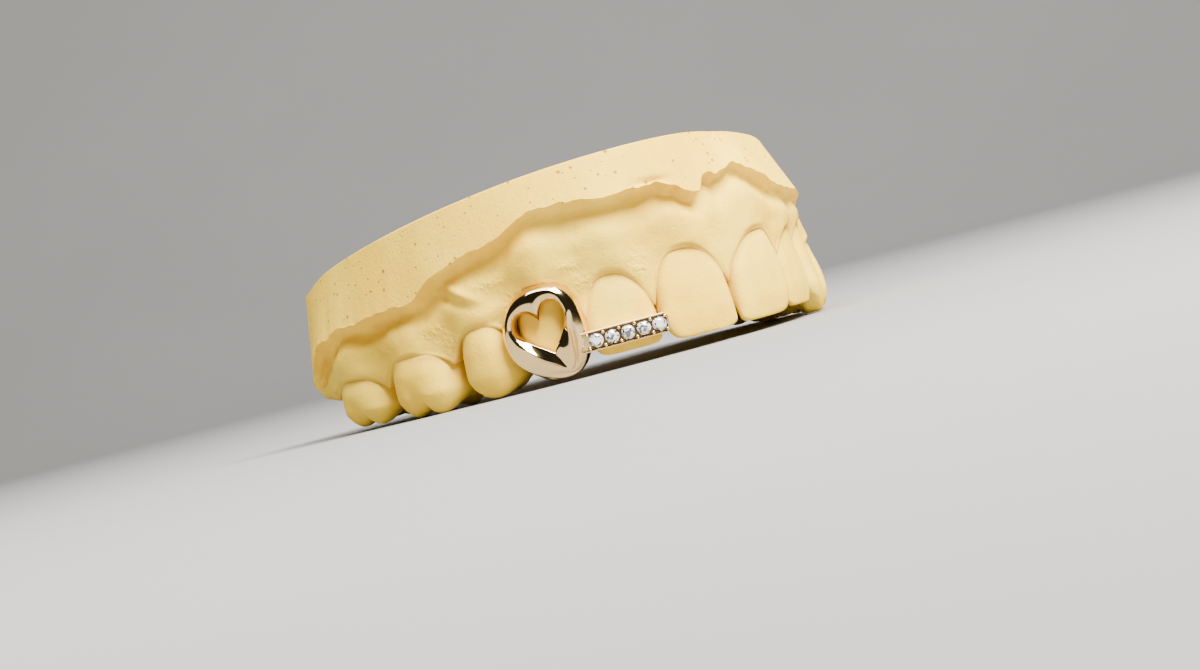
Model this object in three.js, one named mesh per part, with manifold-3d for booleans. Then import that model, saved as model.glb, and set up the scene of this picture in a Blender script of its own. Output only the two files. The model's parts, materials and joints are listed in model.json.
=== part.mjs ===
// A gold heart-window tooth cap with a bar of five round stones, seated on the dental stone cast
// of an upper jaw. The cast lies on its teeth, with its trimmed base on top.
//
// Frame while modelling: the midline is x = 0, the front teeth face -Y, +X is the wearer's left,
// and z = 0 is the plane of the lowest tooth tips. The group is then moved so that its origin is
// the middle of the underside of the whole.

import * as THREE from 'three';
import { mergeVertices } from 'three/addons/utils/BufferGeometryUtils.js';
import Module from 'manifold-3d';

const wasm = await Module();
wasm.setup();

// Driving sizes, in millimetres

// The tooth line: half an ellipse, with a short straight leg behind each end
const archHalfWidth = 26.2;
const archDepth = 34.8;
const heelLength = 4.5; // from the back of the ellipse to the flat rear face

// Teeth on one side, from the midline back, as shares of these three sizes. face and back are how
// far the crown bulges out of the tooth line, outwards and inwards. tip, neck and papilla are
// heights: of the lowest point, of the gum's highest point on the crown, and of the gum point on
// the midline side.
const toothWidth = 9.2; // of a molar
const crownDepth = 5.0; // from the tooth line out to a molar's face
const crownHeight = 10.9; // of the gum over a central incisor
const toothShares = [
  { kind: 'incisor', width: 0.913, face: 0.58, back: 0.72, tip: 0.092, neck: 1.0, papilla: 0.56 },
  { kind: 'incisor', width: 0.75, face: 0.48, back: 0.64, tip: 0.156, neck: 0.936, papilla: 0.6 },
  { kind: 'canine', width: 0.848, face: 0.62, back: 0.84, tip: 0.018, neck: 0.972, papilla: 0.62 },
  { kind: 'premolar', width: 0.75, face: 0.84, back: 0.92, tip: 0.018, neck: 0.734, papilla: 0.569 },
  { kind: 'molar', width: 1.0, face: 1.0, back: 1.12, tip: 0.0, neck: 0.615, papilla: 0.44 },
  { kind: 'molar', width: 1.0, face: 0.94, back: 1.08, tip: 0.037, neck: 0.532, papilla: 0.367 },
];
const heelHeight = 4.6; // underside of the gum behind the last tooth
const cuspDepth = 1.6; // from a molar's cusps down to its fossa
const edgeLift = 0.9; // how far an incisor's corners rise from its edge
const canineLift = 2.0; // how far a canine's shoulders rise from its point

// Gums
const gumLip = 0.4; // how far the gum stands proud of a crown at its edge
const gumRoll = 0.6; // radius of the gum's rolled edge
const rootBulge = 0.5; // how far a root swells the gum over it
const palateRise = 1.6; // how far the gum line behind the teeth lies above the papillas
const palateHeight = 12.6; // height of the palate's crown at the rear
const palateFront = 9.2; // height of the palate behind the front teeth

// Trimmed base
const wallStandoff = 5.0; // from the tooth line to the base's wall at its widest
const ledgeHeight = 18.0; // lower edge of the wall at the front
const coveHeight = 1.5; // the hollow under the ledge
const topHeight = 16.7; // the flat top over the middle of the tooth line's ends
const topRise = 9.5; // degrees, the top face climbs towards the front
const topTilt = 2.5; // degrees, the top face falls towards the wearer's left

// Gold cap on the wearer's upper right canine
const cappedTooth = 2;
const cappedSide = -1;
const fitGap = 0.25; // clearance between gold and stone
const shellWall = 0.35;
const contactSwell = 0.3; // how far two neighbouring crowns may swell past their places in the row
const capWidth = 8.6; // over the ring
const capHeight = 10.3;
const capBottom = 0.6; // lowest point of the ring over the plane of the tips
const capSetback = 0.65; // how far the ring's middle lies behind the tooth's
const windowWidth = 5.75;
const windowHeight = 5.6;
const ringThickness = 1.25; // over the shell, at the ring's crest
const windowRelief = 0.25; // the opening in the shell is larger than the ring's by this
const ringFall = 1.3; // how far the ring falls back towards the midline, over half its width
const ringReach = 0.3; // and on its other side, where it passes in front of the next tooth

// Bar and stones
const barHeight = 2.2;
const barThickness = 1.15;
const barLift = 2.6; // underside of the bar over the plane of the tips
const barRoot = 3.6; // from the tooth's middle to the bar's root in the ring
const barTail = 1.0; // how far the bar goes on into the ring
const barReach = 0.65; // how far the bar runs past the lateral incisor
const barStandoff = 3.35; // from the tooth line to the middle of the bar at its root
const barEndStandoff = 3.0; // and at its end
const barChamfer = 0.45;
const railWidth = 0.2;
const railHeight = 0.25;
const stoneCount = 5;
const stoneDiameter = 1.54;
const stonePitch = 1.72;
const stoneGap = 0.06;
const endLand = 0.28; // metal between the last stone and the bar's end
const beadRadius = 0.26;

// Shapes as shares of the sizes above

// Crown sections from the tip (height 0) to the gum line (height 1) and on to the root's end.
// half is a share of the width, face and back of the tooth's own face and back.
const crownForms = {
  incisor: [
    { height: 0.0, half: 0.42, face: 0.68, back: -0.24 },
    { height: 0.08, half: 0.47, face: 0.78, back: -0.2 },
    { height: 0.3, half: 0.525, face: 0.93, back: 0.0 },
    { height: 0.6, half: 0.52, face: 1.0, back: 0.45 },
    { height: 0.85, half: 0.48, face: 0.95, back: 0.9 },
    { height: 1.0, half: 0.42, face: 0.87, back: 1.0 },
    { height: 1.14, half: 0.3, face: 0.4, back: 0.7 },
  ],
  canine: [
    { height: 0.0, half: 0.34, face: 0.66, back: -0.1 },
    { height: 0.1, half: 0.43, face: 0.8, back: 0.05 },
    { height: 0.3, half: 0.51, face: 0.95, back: 0.4 },
    { height: 0.6, half: 0.48, face: 1.0, back: 0.8 },
    { height: 0.85, half: 0.43, face: 0.95, back: 1.0 },
    { height: 1.0, half: 0.39, face: 0.88, back: 1.0 },
    { height: 1.14, half: 0.3, face: 0.35, back: 0.7 },
  ],
  premolar: [
    { height: 0.0, half: 0.33, face: 0.6, back: 0.5 },
    { height: 0.12, half: 0.43, face: 0.78, back: 0.72 },
    { height: 0.35, half: 0.51, face: 0.95, back: 0.95 },
    { height: 0.65, half: 0.48, face: 1.0, back: 1.0 },
    { height: 0.9, half: 0.43, face: 0.97, back: 0.95 },
    { height: 1.0, half: 0.41, face: 0.92, back: 0.9 },
    { height: 1.2, half: 0.3, face: 0.5, back: 0.55 },
  ],
  molar: [
    { height: 0.0, half: 0.38, face: 0.7, back: 0.6 },
    { height: 0.15, half: 0.46, face: 0.84, back: 0.8 },
    { height: 0.4, half: 0.51, face: 0.97, back: 0.97 },
    { height: 0.7, half: 0.49, face: 1.0, back: 1.0 },
    { height: 0.9, half: 0.46, face: 0.97, back: 0.95 },
    { height: 1.0, half: 0.45, face: 0.93, back: 0.93 },
    { height: 1.25, half: 0.35, face: 0.6, back: 0.6 },
  ],
};

const crownSquare = 0.82; // power that squares off a crown's section, 1 for an ellipse
const biteReach = 0.4; // share of a crown's height up to which its cusps shape the sides

// Cusps: along and out are shares of the half width and of the depth from the tooth line
const cusps = {
  premolar: [
    { along: 0.0, out: 0.5, drop: 1.0, spread: 0.7 },
    { along: 0.0, out: -0.45, drop: 0.85, spread: 0.7 },
  ],
  molar: [
    { along: 0.46, out: 0.58, drop: 1.0, spread: 0.52 },
    { along: -0.46, out: 0.56, drop: 0.92, spread: 0.52 },
    { along: 0.42, out: -0.48, drop: 0.95, spread: 0.56 },
    { along: -0.46, out: -0.42, drop: 0.75, spread: 0.5 },
  ],
};

// The base and the upper gum round the arch. at is the place from the right heel (-1) to the
// left heel (1). rim, lip and gum are shares of the wall's standoff: the top edge, the ledge
// and the gum under it. edge is a share of the ledge's height.
const baseForm = [
  { at: -1.0, rim: 0.34, lip: 0.72, gum: 0.5, edge: 0.36 },
  { at: -0.95, rim: 0.46, lip: 0.94, gum: 0.62, edge: 0.5 },
  { at: -0.86, rim: 0.6, lip: 1.02, gum: 0.76, edge: 0.64 },
  { at: -0.7, rim: 0.8, lip: 1.06, gum: 0.76, edge: 0.68 },
  { at: -0.62, rim: 0.87, lip: 1.06, gum: 0.74, edge: 0.71 },
  { at: -0.5, rim: 0.95, lip: 1.06, gum: 0.76, edge: 0.88 },
  { at: -0.37, rim: 0.97, lip: 1.06, gum: 0.76, edge: 1.02 },
  { at: -0.2, rim: 0.86, lip: 1.0, gum: 0.64, edge: 1.02 },
  { at: -0.1, rim: 0.76, lip: 0.92, gum: 0.58, edge: 1.0 },
  { at: -0.05, rim: 0.68, lip: 0.86, gum: 0.56, edge: 0.93 },
  { at: -0.02, rim: 0.6, lip: 0.8, gum: 0.56, edge: 1.0 },
  { at: 0.06, rim: 0.34, lip: 0.72, gum: 0.5, edge: 1.02 },
  { at: 0.2, rim: 0.12, lip: 0.62, gum: 0.46, edge: 0.83 },
  { at: 0.42, rim: 0.04, lip: 0.56, gum: 0.4, edge: 0.76 },
  { at: 0.7, rim: 0.6, lip: 0.86, gum: 0.6, edge: 0.66 },
  { at: 0.9, rim: 0.8, lip: 0.96, gum: 0.66, edge: 0.56 },
  { at: 1.0, rim: 0.34, lip: 0.72, gum: 0.5, edge: 0.36 },
];

// The ring's outline and the heart, as shares of the half sizes, from the notch round over the
// wearer's right lobe. Each row is the end of one curve, with the two handles before it.
const heartStart = { across: 0.01, up: 0.43 };
const heartCurves = [
  { handles: [[-0.1, 0.6], [-0.3, 0.75]], end: [-0.54, 0.75] },
  { handles: [[-0.82, 0.75], [-1.0, 0.54]], end: [-1.0, 0.24] },
  { handles: [[-1.0, -0.2], [-0.32, -0.53]], end: [0.33, -1.0] },
  { handles: [[0.53, -0.66], [1.0, -0.1]], end: [1.0, 0.38] },
  { handles: [[1.0, 0.73], [0.82, 1.0]], end: [0.56, 1.0] },
  { handles: [[0.27, 1.0], [0.11, 0.82]], end: [0.01, 0.43] },
];
const heartCentre = { across: -0.012, up: 0.11 }; // a share of the cap's half width and half height
const capOutline = [
  { across: 0.38, up: 0.98 },
  { across: -0.31, up: 0.91 },
  { across: -0.75, up: 0.69 },
  { across: -1.0, up: 0.2 },
  { across: -0.86, up: -0.5 },
  { across: -0.33, up: -0.86 },
  { across: 0.36, up: -1.0 },
  { across: 0.86, up: -0.72 },
  { across: 1.0, up: -0.1 },
  { across: 0.82, up: 0.68 },
];

// The ring's section from the window (0) out to its edge (1), as shares of ringThickness
const ringSection = [
  { out: 0.0, up: -0.9 },
  { out: 0.0, up: 0.36 },
  { out: 0.2, up: 0.58 },
  { out: 0.42, up: 0.86 },
  { out: 0.64, up: 1.0 },
  { out: 0.84, up: 0.86 },
  { out: 0.97, up: 0.5 },
  { out: 1.0, up: 0.0 },
  { out: 0.94, up: -0.7 },
];

// The gum: powers and shares of its edge round a crown
const festoonPower = 2.4; // how late the edge drops towards the next tooth
const tongueFestoon = 0.3; // how much of that rise and fall the tongue's side has
const papillaPinch = 0.3; // how much the gum draws in between two teeth
const heelTaper = 0.25; // and behind the last one
const faceReach = 0.88; // the gum's edge, as a share of the crown's face
const backReach = 0.95;
const rollIn = 0.3; // the lowest point of the rolled edge, inwards in its radii
const rollUp = 0.2; // and upwards
const gumKnots = [0.3, 0.65]; // from the ledge's hollow down to the rolled edge
const gumTopShare = 0.75; // the hollow's lowest place, from the ledge down to the rolled edge
const coveShare = 0.35; // the hollow's upper corner, inwards from the lip and down the hollow
const bulgeTurns = 1.1; // the swell over the roots ends this far round, in half turns
const innerKnots = [0.22, 0.5, 0.8, 1]; // from the gum to the middle of the palate
const palateClimb = 0.9; // power of the rise between them
const palatePower = 0.8; // and of the palate's own rise from the front to the rear
const frontOfTop = 0.7; // the middle of the top and palate at the front, as a share of the depth
const middlePower = 1.3; // how late that middle moves back
const topKnot = 0.75; // a point of the top face, from its middle to the rim
const wallKnot = 0.6; // a point of the wall, from the rim down to the lip

// Powers of the rise of a tooth's edge from its middle to its corners
const edgePower = 5; // an incisor's, nearly straight
const pointPower = 1.3; // a canine's, nearly a point

// A round brilliant, as shares of its diameter
const tableShare = 0.57;
const crownShare = 0.15;
const girdleShare = 0.03;
const pavilionShare = 0.42;
const seatDeepening = 1.6; // the seat's point lies deeper than the stone's by this many gaps
const beadLift = 0.4; // a bead's middle over the channel's floor, as a share of its radius
const beadInset = 0.6; // and in from the rail

// Facet counts
const crownSides = 20;
const rimSteps = 2; // rings of the biting face
const stationSteps = 4; // per tooth
const heelSteps = 2;
const ringSteps = 48;
const stoneSides = 16;
const beadSides = 8;
const pointShare = 1e-3; // a loop drawn in this far counts as a point
const sliverSize = 0.005; // mm, shorter edges left by a join or cut are merged

// Small helpers

const mix = (a, b, t) => a + (b - a) * t;
const clamp = (v, low, high) => Math.min(high, Math.max(low, v));

// The row of a table at a place between two of its rows, with every column mixed.
function rowAt(table, key, value) {
  const last = table.length - 1;
  const v = clamp(value, table[0][key], table[last][key]);
  const i = clamp(table.findIndex((row) => row[key] >= v), 1, last);
  const t = (v - table[i - 1][key]) / (table[i][key] - table[i - 1][key]);
  const mixed = {};
  for (const column of Object.keys(table[i])) {
    mixed[column] = mix(table[i - 1][column], table[i][column], t);
  }
  return mixed;
}

// The bands between loops of points, and with wrapRows also the band from the last to the first.
function loopsToGeometry(loops, wrapRows = false) {
  const count = loops[0].length;
  const points = loops.flat();
  const faces = [];
  const bands = wrapRows ? loops.length : loops.length - 1;
  for (let r = 0; r < bands; r++) {
    for (let c = 0; c < count; c++) {
      const a = r * count + c;
      const b = r * count + ((c + 1) % count);
      const up = ((r + 1) % loops.length) * count;
      const d = up + c;
      const e = up + ((c + 1) % count);
      faces.push(a, b, e, a, e, d);
    }
  }
  return facesToGeometry(points, faces);
}

function facesToGeometry(points, faces) {
  const geometry = new THREE.BufferGeometry();
  const flat = points.flatMap((p) => [p.x, p.y, p.z]);
  geometry.setAttribute('position', new THREE.Float32BufferAttribute(flat, 3));
  geometry.setIndex(faces);
  return geometry;
}

// A closed geometry as a solid that can be joined and cut.
function solidFrom(geometry) {
  const bare = geometry.clone();
  for (const name of Object.keys(bare.attributes)) if (name !== 'position') bare.deleteAttribute(name);
  const merged = mergeVertices(bare, 1e-4);
  const index = merged.index.array;
  const triVerts = [];
  for (let i = 0; i < index.length; i += 3) {
    const [a, b, c] = [index[i], index[i + 1], index[i + 2]];
    if (a !== b && b !== c && c !== a) triVerts.push(a, b, c);
  }
  const mesh = { numProp: 3, vertProperties: merged.attributes.position.array };
  const solid = new wasm.Manifold(new wasm.Mesh({ ...mesh, triVerts: new Uint32Array(triVerts) }));
  if (solid.volume() >= 0) return solid;
  for (let i = 0; i < triVerts.length; i += 3) {
    [triVerts[i + 1], triVerts[i + 2]] = [triVerts[i + 2], triVerts[i + 1]];
  }
  return new wasm.Manifold(new wasm.Mesh({ ...mesh, triVerts: new Uint32Array(triVerts) }));
}

function geometryFrom(solid) {
  const { vertProperties, triVerts } = solid.simplify(sliverSize).getMesh();
  const geometry = new THREE.BufferGeometry();
  geometry.setAttribute('position', new THREE.BufferAttribute(vertProperties, 3));
  geometry.setIndex(new THREE.BufferAttribute(triVerts, 1));
  const flat = geometry.toNonIndexed();
  flat.computeVertexNormals();
  return flat;
}

const joinAll = (solids) => solids.reduce((whole, next) => whole.add(next));

// The tooth line

const archTable = [{ run: 0, x: 0, y: -archDepth, nx: 0, ny: -1 }];
const archTableSteps = 240;
for (let i = 1; i <= archTableSteps; i++) {
  const angle = ((i / archTableSteps) * Math.PI) / 2;
  const x = archHalfWidth * Math.sin(angle);
  const y = -archDepth * Math.cos(angle);
  const before = archTable[i - 1];
  const out = new THREE.Vector2(x / archHalfWidth ** 2, y / archDepth ** 2).normalize();
  const run = before.run + Math.hypot(x - before.x, y - before.y);
  archTable.push({ run, x, y, nx: out.x, ny: out.y });
}
const curveRun = archTable[archTableSteps].run;
const fullRun = curveRun + heelLength; // from the midline to the rear face

// A point of the tooth line, run mm from the midline, negative on the wearer's right.
function archAt(run) {
  const side = Math.sign(run) || 1;
  const length = Math.abs(run);
  const row = rowAt(archTable, 'run', length);
  const leg = Math.max(0, length - curveRun);
  return { x: side * row.x, y: row.y + leg, nx: side * row.nx, ny: row.ny };
}

// A point at a distance outwards from the tooth line, and at a height.
function beside(run, out, z) {
  const a = archAt(run);
  return new THREE.Vector3(a.x + a.nx * out, a.y + a.ny * out, z);
}

// The teeth in millimetres, with the start and middle of each one's place on the tooth line.
const teeth = [];
let toothRun = 0;
for (const row of toothShares) {
  const width = row.width * toothWidth;
  teeth.push({
    kind: row.kind,
    width,
    face: row.face * crownDepth,
    back: row.back * crownDepth,
    tip: row.tip * crownHeight,
    neck: row.neck * crownHeight,
    papilla: row.papilla * crownHeight,
    start: toothRun,
    middle: toothRun + width / 2,
  });
  toothRun += width;
}

// The stone crown under the cap is narrower, and its tip higher, to leave room for the shell.
function crownOf(index, side) {
  const tooth = teeth[index];
  const capped = index === cappedTooth && side === cappedSide;
  const room = shellWall + 2 * fitGap + contactSwell; // the shell, its gap and the next tooth's gap
  const inset = capped ? room : 0;
  return { ...tooth, side, stoneWidth: tooth.width - 2 * inset, stoneTip: tooth.tip + inset };
}

// Half width, face and back of a crown at a height, with the crown grown on all sides.
function crownSection(crown, z, grow) {
  const height = (z - crown.stoneTip) / (crown.neck - crown.stoneTip);
  const row = rowAt(crownForms[crown.kind], 'height', height);
  return {
    half: row.half * crown.stoneWidth + grow,
    face: row.face * crown.face + grow,
    back: row.back * crown.back + grow,
  };
}

// How far the biting face lies above the tip, at shares along and out of the crown.
function biteRise(kind, along, out) {
  if (kind === 'incisor') return edgeLift * Math.abs(along) ** edgePower;
  if (kind === 'canine') return canineLift * Math.abs(along) ** pointPower;
  let drop = 0;
  for (const cusp of cusps[kind]) {
    const near = ((along - cusp.along) ** 2 + (out - cusp.out) ** 2) / cusp.spread ** 2;
    drop = Math.max(drop, cusp.drop * Math.exp(-near));
  }
  return cuspDepth * (1 - drop);
}

// A point in the frame of a place on the tooth line: aside along the line, out of it, and up.
function fromPlace(place, aside, out, z) {
  const x = place.x + place.nx * out - place.ny * aside;
  const y = place.y + place.ny * out + place.nx * aside;
  return new THREE.Vector3(x, y, z);
}

// A circle's cosine or sine squared off a little.
const squared = (v) => Math.sign(v) * Math.abs(v) ** crownSquare;

// One loop of a crown at a height. share draws it in, and bite lifts it between the cusps.
function crownLoop(crown, z, share, bite, grow) {
  const place = archAt(crown.side * crown.middle);
  const { half, face, back } = crownSection(crown, z, grow);
  const ring = [];
  for (let i = 0; i < crownSides; i++) {
    const angle = (i / crownSides) * 2 * Math.PI;
    const along = squared(Math.cos(angle)) * share;
    const out = (face - back) / 2 + ((face + back) / 2) * squared(Math.sin(angle)) * share;
    const outShare = out >= 0 ? out / crown.face : out / crown.back;
    ring.push(fromPlace(place, half * along, out, z + bite * biteRise(crown.kind, along, outShare)));
  }
  return ring;
}

// One crown with its root end: rings of the biting face, then sections up into the gum.
function crownSolid(crown, grow = 0) {
  const form = crownForms[crown.kind];
  const tip = crown.stoneTip;
  const tall = crown.neck - tip;
  const top = tip + form[form.length - 1].height * tall;
  const raise = (loop, by) => loop.map((p) => p.setZ(p.z + by));
  const loops = [];
  for (let i = 0; i <= rimSteps; i++) {
    loops.push(raise(crownLoop(crown, tip, Math.max(i / rimSteps, pointShare), 1, grow), -grow));
  }
  for (const row of form.slice(1, -1)) {
    const bite = Math.max(0, 1 - row.height / biteReach);
    loops.push(crownLoop(crown, tip + row.height * tall, 1, bite, grow));
  }
  loops.push(raise(crownLoop(crown, top, 1, 0, grow), grow));
  loops.push(raise(crownLoop(crown, top, pointShare, 0, grow), grow));
  return solidFrom(capLoops(loops));
}

// Loops closed at both ends by a fan of triangles.
function capLoops(loops) {
  const geometry = loopsToGeometry(loops);
  const count = loops[0].length;
  const faces = Array.from(geometry.index.array);
  const lastStart = (loops.length - 1) * count;
  for (let c = 1; c < count - 1; c++) {
    faces.push(0, c + 1, c);
    faces.push(lastStart, lastStart + c, lastStart + c + 1);
  }
  geometry.setIndex(faces);
  return geometry;
}

// Height of the gum's edge at a place on the tooth line: high over each crown, low between two.
function gumEdge(run, festoon = 1) {
  const length = Math.abs(run);
  const index = teeth.findIndex((tooth) => length < tooth.start + tooth.width);
  if (index < 0) {
    const behind = clamp((length - toothRun) / heelLength, 0, 1);
    return mix(teeth[teeth.length - 1].papilla, heelHeight, behind);
  }
  const tooth = teeth[index];
  const share = (length - tooth.middle) / (tooth.width / 2);
  const outer = teeth[index + 1] ?? tooth;
  const papilla = share < 0 ? tooth.papilla : outer.papilla;
  const full = mix(tooth.neck, papilla, Math.abs(share) ** festoonPower);
  const even = mix(tooth.papilla, outer.papilla, (share + 1) / 2) + palateRise;
  return mix(even, full, festoon);
}

// How far the gum's edge stands out from the tooth line, outwards and inwards.
function gumReach(run) {
  const length = Math.abs(run);
  const tooth = teeth.find((t) => length < t.start + t.width) ?? teeth[teeth.length - 1];
  const share = clamp((length - tooth.middle) / (tooth.width / 2), -1, 1);
  const pinch = 1 - papillaPinch * Math.abs(share) ** 3;
  const heel = 1 - heelTaper * clamp((length - toothRun) / heelLength, 0, 1);
  return {
    out: tooth.face * faceReach * pinch * heel + gumLip,
    back: tooth.back * backReach * heel + gumLip,
  };
}

// Height of the ground top, a plane that climbs forwards and falls to the wearer's left.
const slope = (degrees) => Math.tan(THREE.MathUtils.degToRad(degrees));
const topZ = (x, y) => topHeight - y * slope(topRise) - x * slope(topTilt);

// How far back the middle of the top and of the palate lies for a section.
const middleAt = (share) => mix(-archDepth * frontOfTop, heelLength, share ** middlePower);

// The base's part of a section: from the middle of the top, out to the rim and down the wall.
function baseSection(run, form, ledge, grow) {
  const middleY = middleAt(Math.abs(run) / fullRun);
  const rim = form.rim * wallStandoff + grow;
  const lip = form.lip * wallStandoff + grow;
  const onTop = (p) => p.setZ(topZ(p.x, p.y) + grow);
  const middle = onTop(new THREE.Vector3(0, middleY, 0));
  const rimPoint = onTop(beside(run, rim, 0));
  const topPoint = onTop(middle.clone().lerp(rimPoint, topKnot));
  const wallPoint = beside(run, mix(rim, lip, wallKnot), mix(rimPoint.z, ledge, wallKnot));
  return [middle, topPoint, rimPoint, wallPoint, beside(run, lip, ledge)];
}

// The gum's part: under the ledge, over the roots, and round the rolled edge to the teeth.
function gumSection(run, form, ledge, out, edgeZ, grow) {
  const lip = form.lip * wallStandoff + grow;
  const gum = form.gum * wallStandoff + grow;
  const rollZ = edgeZ + gumRoll;
  const gumTop = Math.max(ledge - coveHeight, mix(ledge, rollZ, gumTopShare));
  const bulge = rootBulge * Math.sin(Math.PI * clamp((Math.abs(run) / fullRun) * bulgeTurns, 0, 1));
  const cove = beside(run, mix(gum, lip, coveShare), ledge - coveHeight * coveShare);
  const points = [cove, beside(run, gum, gumTop)];
  for (const t of gumKnots) {
    const swell = bulge * Math.sin(Math.PI * t);
    points.push(beside(run, mix(gum, out, t) + swell, mix(gumTop, rollZ, t)));
  }
  points.push(beside(run, out, rollZ));
  points.push(beside(run, out - gumRoll * rollIn, edgeZ + gumRoll * rollUp));
  points.push(beside(run, out - gumRoll, edgeZ));
  return points;
}

// The tongue's part: from under the teeth over the gum's inner edge to the palate's middle.
function palateSection(run, back, grow) {
  const share = Math.abs(run) / fullRun;
  const innerZ = gumEdge(run, tongueFestoon) - grow;
  const inner = beside(run, -back, innerZ + gumRoll);
  const vault = mix(palateFront, palateHeight, share ** palatePower) - grow;
  const middle = new THREE.Vector3(0, middleAt(share), vault);
  const points = [beside(run, -back + gumRoll, innerZ), inner];
  for (const t of innerKnots) {
    const climb = Math.sin((t * Math.PI) / 2) ** palateClimb;
    points.push(inner.clone().lerp(middle, t).setZ(mix(inner.z, middle.z, climb)));
  }
  return points;
}

// The cast's whole section at a place on the tooth line, grown on all sides.
function castSection(run, grow) {
  const form = rowAt(baseForm, 'at', run / fullRun);
  const ledge = form.edge * ledgeHeight;
  const edgeZ = gumEdge(run) - grow;
  const reach = gumReach(run);
  return [
    ...baseSection(run, form, ledge, grow),
    ...gumSection(run, form, ledge, reach.out + grow, edgeZ, grow),
    beside(run, 0, edgeZ + gumRoll),
    ...palateSection(run, reach.back + grow, grow),
  ];
}

// The places of the sections, from the right heel to the left one.
function sectionRuns() {
  const side = [0];
  for (const tooth of teeth) {
    for (let i = 1; i <= stationSteps; i++) side.push(tooth.start + (tooth.width * i) / stationSteps);
  }
  for (let i = 1; i <= heelSteps; i++) side.push(mix(toothRun, fullRun, i / heelSteps));
  return [...side.slice(1).reverse().map((v) => -v), ...side];
}

// The cast's body: sections set side by side from heel to heel, with a flat rear face between
// the outlines of the first and the last.
function castBody(grow = 0) {
  const sections = sectionRuns().map((run) => castSection(run, grow));
  for (const end of [sections[0], sections[sections.length - 1]]) {
    for (const p of end) p.y += grow;
  }
  const count = sections[0].length;
  const points = sections.flat();
  const faces = [];
  for (let s = 0; s < sections.length - 1; s++) {
    for (let i = 0; i < count - 1; i++) {
      const a = s * count + i;
      const b = a + count;
      faces.push(a, a + 1, b + 1, a, b + 1, b);
    }
  }
  const rear = [];
  for (let i = 0; i < count; i++) rear.push(i);
  for (let i = count - 2; i > 0; i--) rear.push((sections.length - 1) * count + i);
  const flat = rear.map((i) => new THREE.Vector2(points[i].x, points[i].z));
  for (const [a, b, c] of THREE.ShapeUtils.triangulateShape(flat, [])) {
    faces.push(rear[a], rear[c], rear[b]);
  }
  return solidFrom(facesToGeometry(points, faces));
}

function castSolid(grow = 0) {
  const crowns = [];
  for (const side of [-1, 1]) {
    teeth.forEach((_, index) => crowns.push(crownSolid(crownOf(index, side), grow)));
  }
  return joinAll([castBody(grow), ...crowns]);
}

// The cap's own frame: across towards the midline, up, and out, from the middle of the ring.
const capCrown = crownOf(cappedTooth, cappedSide);
const capPlace = archAt(cappedSide * capCrown.middle);
const capMiddleZ = capBottom + capHeight / 2;

function capPoint(across, up, out) {
  return fromPlace(capPlace, -cappedSide * (across - capSetback), out, capMiddleZ + up);
}

// The face of the shell, which the ring and the window's edge stand on.
function shellFace(across, up) {
  const { face } = crownSection(capCrown, capMiddleZ + up, fitGap + shellWall);
  const aside = (across - capSetback) / (capWidth / 2);
  return face - (aside > 0 ? ringFall : ringReach) * aside ** 2;
}

// The middle of the heart in the cap's frame.
const heartX = (heartCentre.across * capWidth) / 2;
const heartY = (heartCentre.up * capHeight) / 2;

function heartPath() {
  const size = ([across, up]) => [heartX + (across * windowWidth) / 2, heartY + (up * windowHeight) / 2];
  const path = new THREE.Path();
  path.moveTo(...size([heartStart.across, heartStart.up]));
  for (const { handles, end } of heartCurves) {
    path.bezierCurveTo(...size(handles[0]), ...size(handles[1]), ...size(end));
  }
  return path;
}

function outlineCurve() {
  const size = ({ across, up }) => new THREE.Vector3((across * capWidth) / 2, (up * capHeight) / 2, 0);
  const points = capOutline.map(size);
  return new THREE.CatmullRomCurve3(points, true, 'catmullrom', 0.5);
}

// The thick ring between the heart and the cap's outline.
function ringSolid() {
  const heart = heartPath().getSpacedPoints(ringSteps).slice(0, ringSteps);
  const outline = outlineCurve();
  const loops = ringSection.map((row) => {
    const loop = [];
    for (let i = 0; i < ringSteps; i++) {
      const outer = outline.getPointAt(i / ringSteps);
      const across = mix(heart[i].x, outer.x, row.out);
      const up = mix(heart[i].y, outer.y, row.out);
      loop.push(capPoint(across, up, shellFace(across, up) + row.up * ringThickness));
    }
    return loop;
  });
  return solidFrom(loopsToGeometry(loops, true));
}

// The opening in the shell's face, under the ring: the heart grown on its half sizes, as a prism.
function windowSolid() {
  const grownX = 1 + (2 * windowRelief) / windowWidth;
  const grownY = 1 + (2 * windowRelief) / windowHeight;
  const heart = heartPath().getSpacedPoints(ringSteps).slice(0, ringSteps);
  for (const p of heart) {
    p.x = heartX + (p.x - heartX) * grownX;
    p.y = heartY + (p.y - heartY) * grownY;
  }
  const inner = heart.map((p) => capPoint(p.x, p.y, 0));
  const outer = heart.map((p) => capPoint(p.x, p.y, shellFace(p.x, p.y) + ringThickness));
  const points = [...inner, ...outer];
  const faces = [];
  for (let i = 0; i < ringSteps; i++) {
    const j = (i + 1) % ringSteps;
    faces.push(i, j, ringSteps + j, i, ringSteps + j, ringSteps + i);
  }
  for (const [a, b, c] of THREE.ShapeUtils.triangulateShape(heart, [])) {
    faces.push(a, c, b, ringSteps + a, ringSteps + b, ringSteps + c);
  }
  return solidFrom(facesToGeometry(points, faces));
}

// The thin shell over the canine, up to the gum.
function shellSolid() {
  return crownSolid(capCrown, fitGap + shellWall);
}

// The bar's frame: its root at the cap, its end past the lateral incisor, out of the tooth row.
const barStart = beside(cappedSide * (capCrown.middle - barRoot), barStandoff, barLift);
const barEnd = beside(cappedSide * (teeth[1].start - barReach), barEndStandoff, barLift);
const barLength = barStart.distanceTo(barEnd);
const barAlong = barEnd.clone().sub(barStart).normalize();
const barUp = new THREE.Vector3(0, 0, 1);
const barOut = barAlong.clone().cross(barUp);
const barMatrix = new THREE.Matrix4().makeBasis(barAlong, barUp, barOut).setPosition(barStart);

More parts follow.
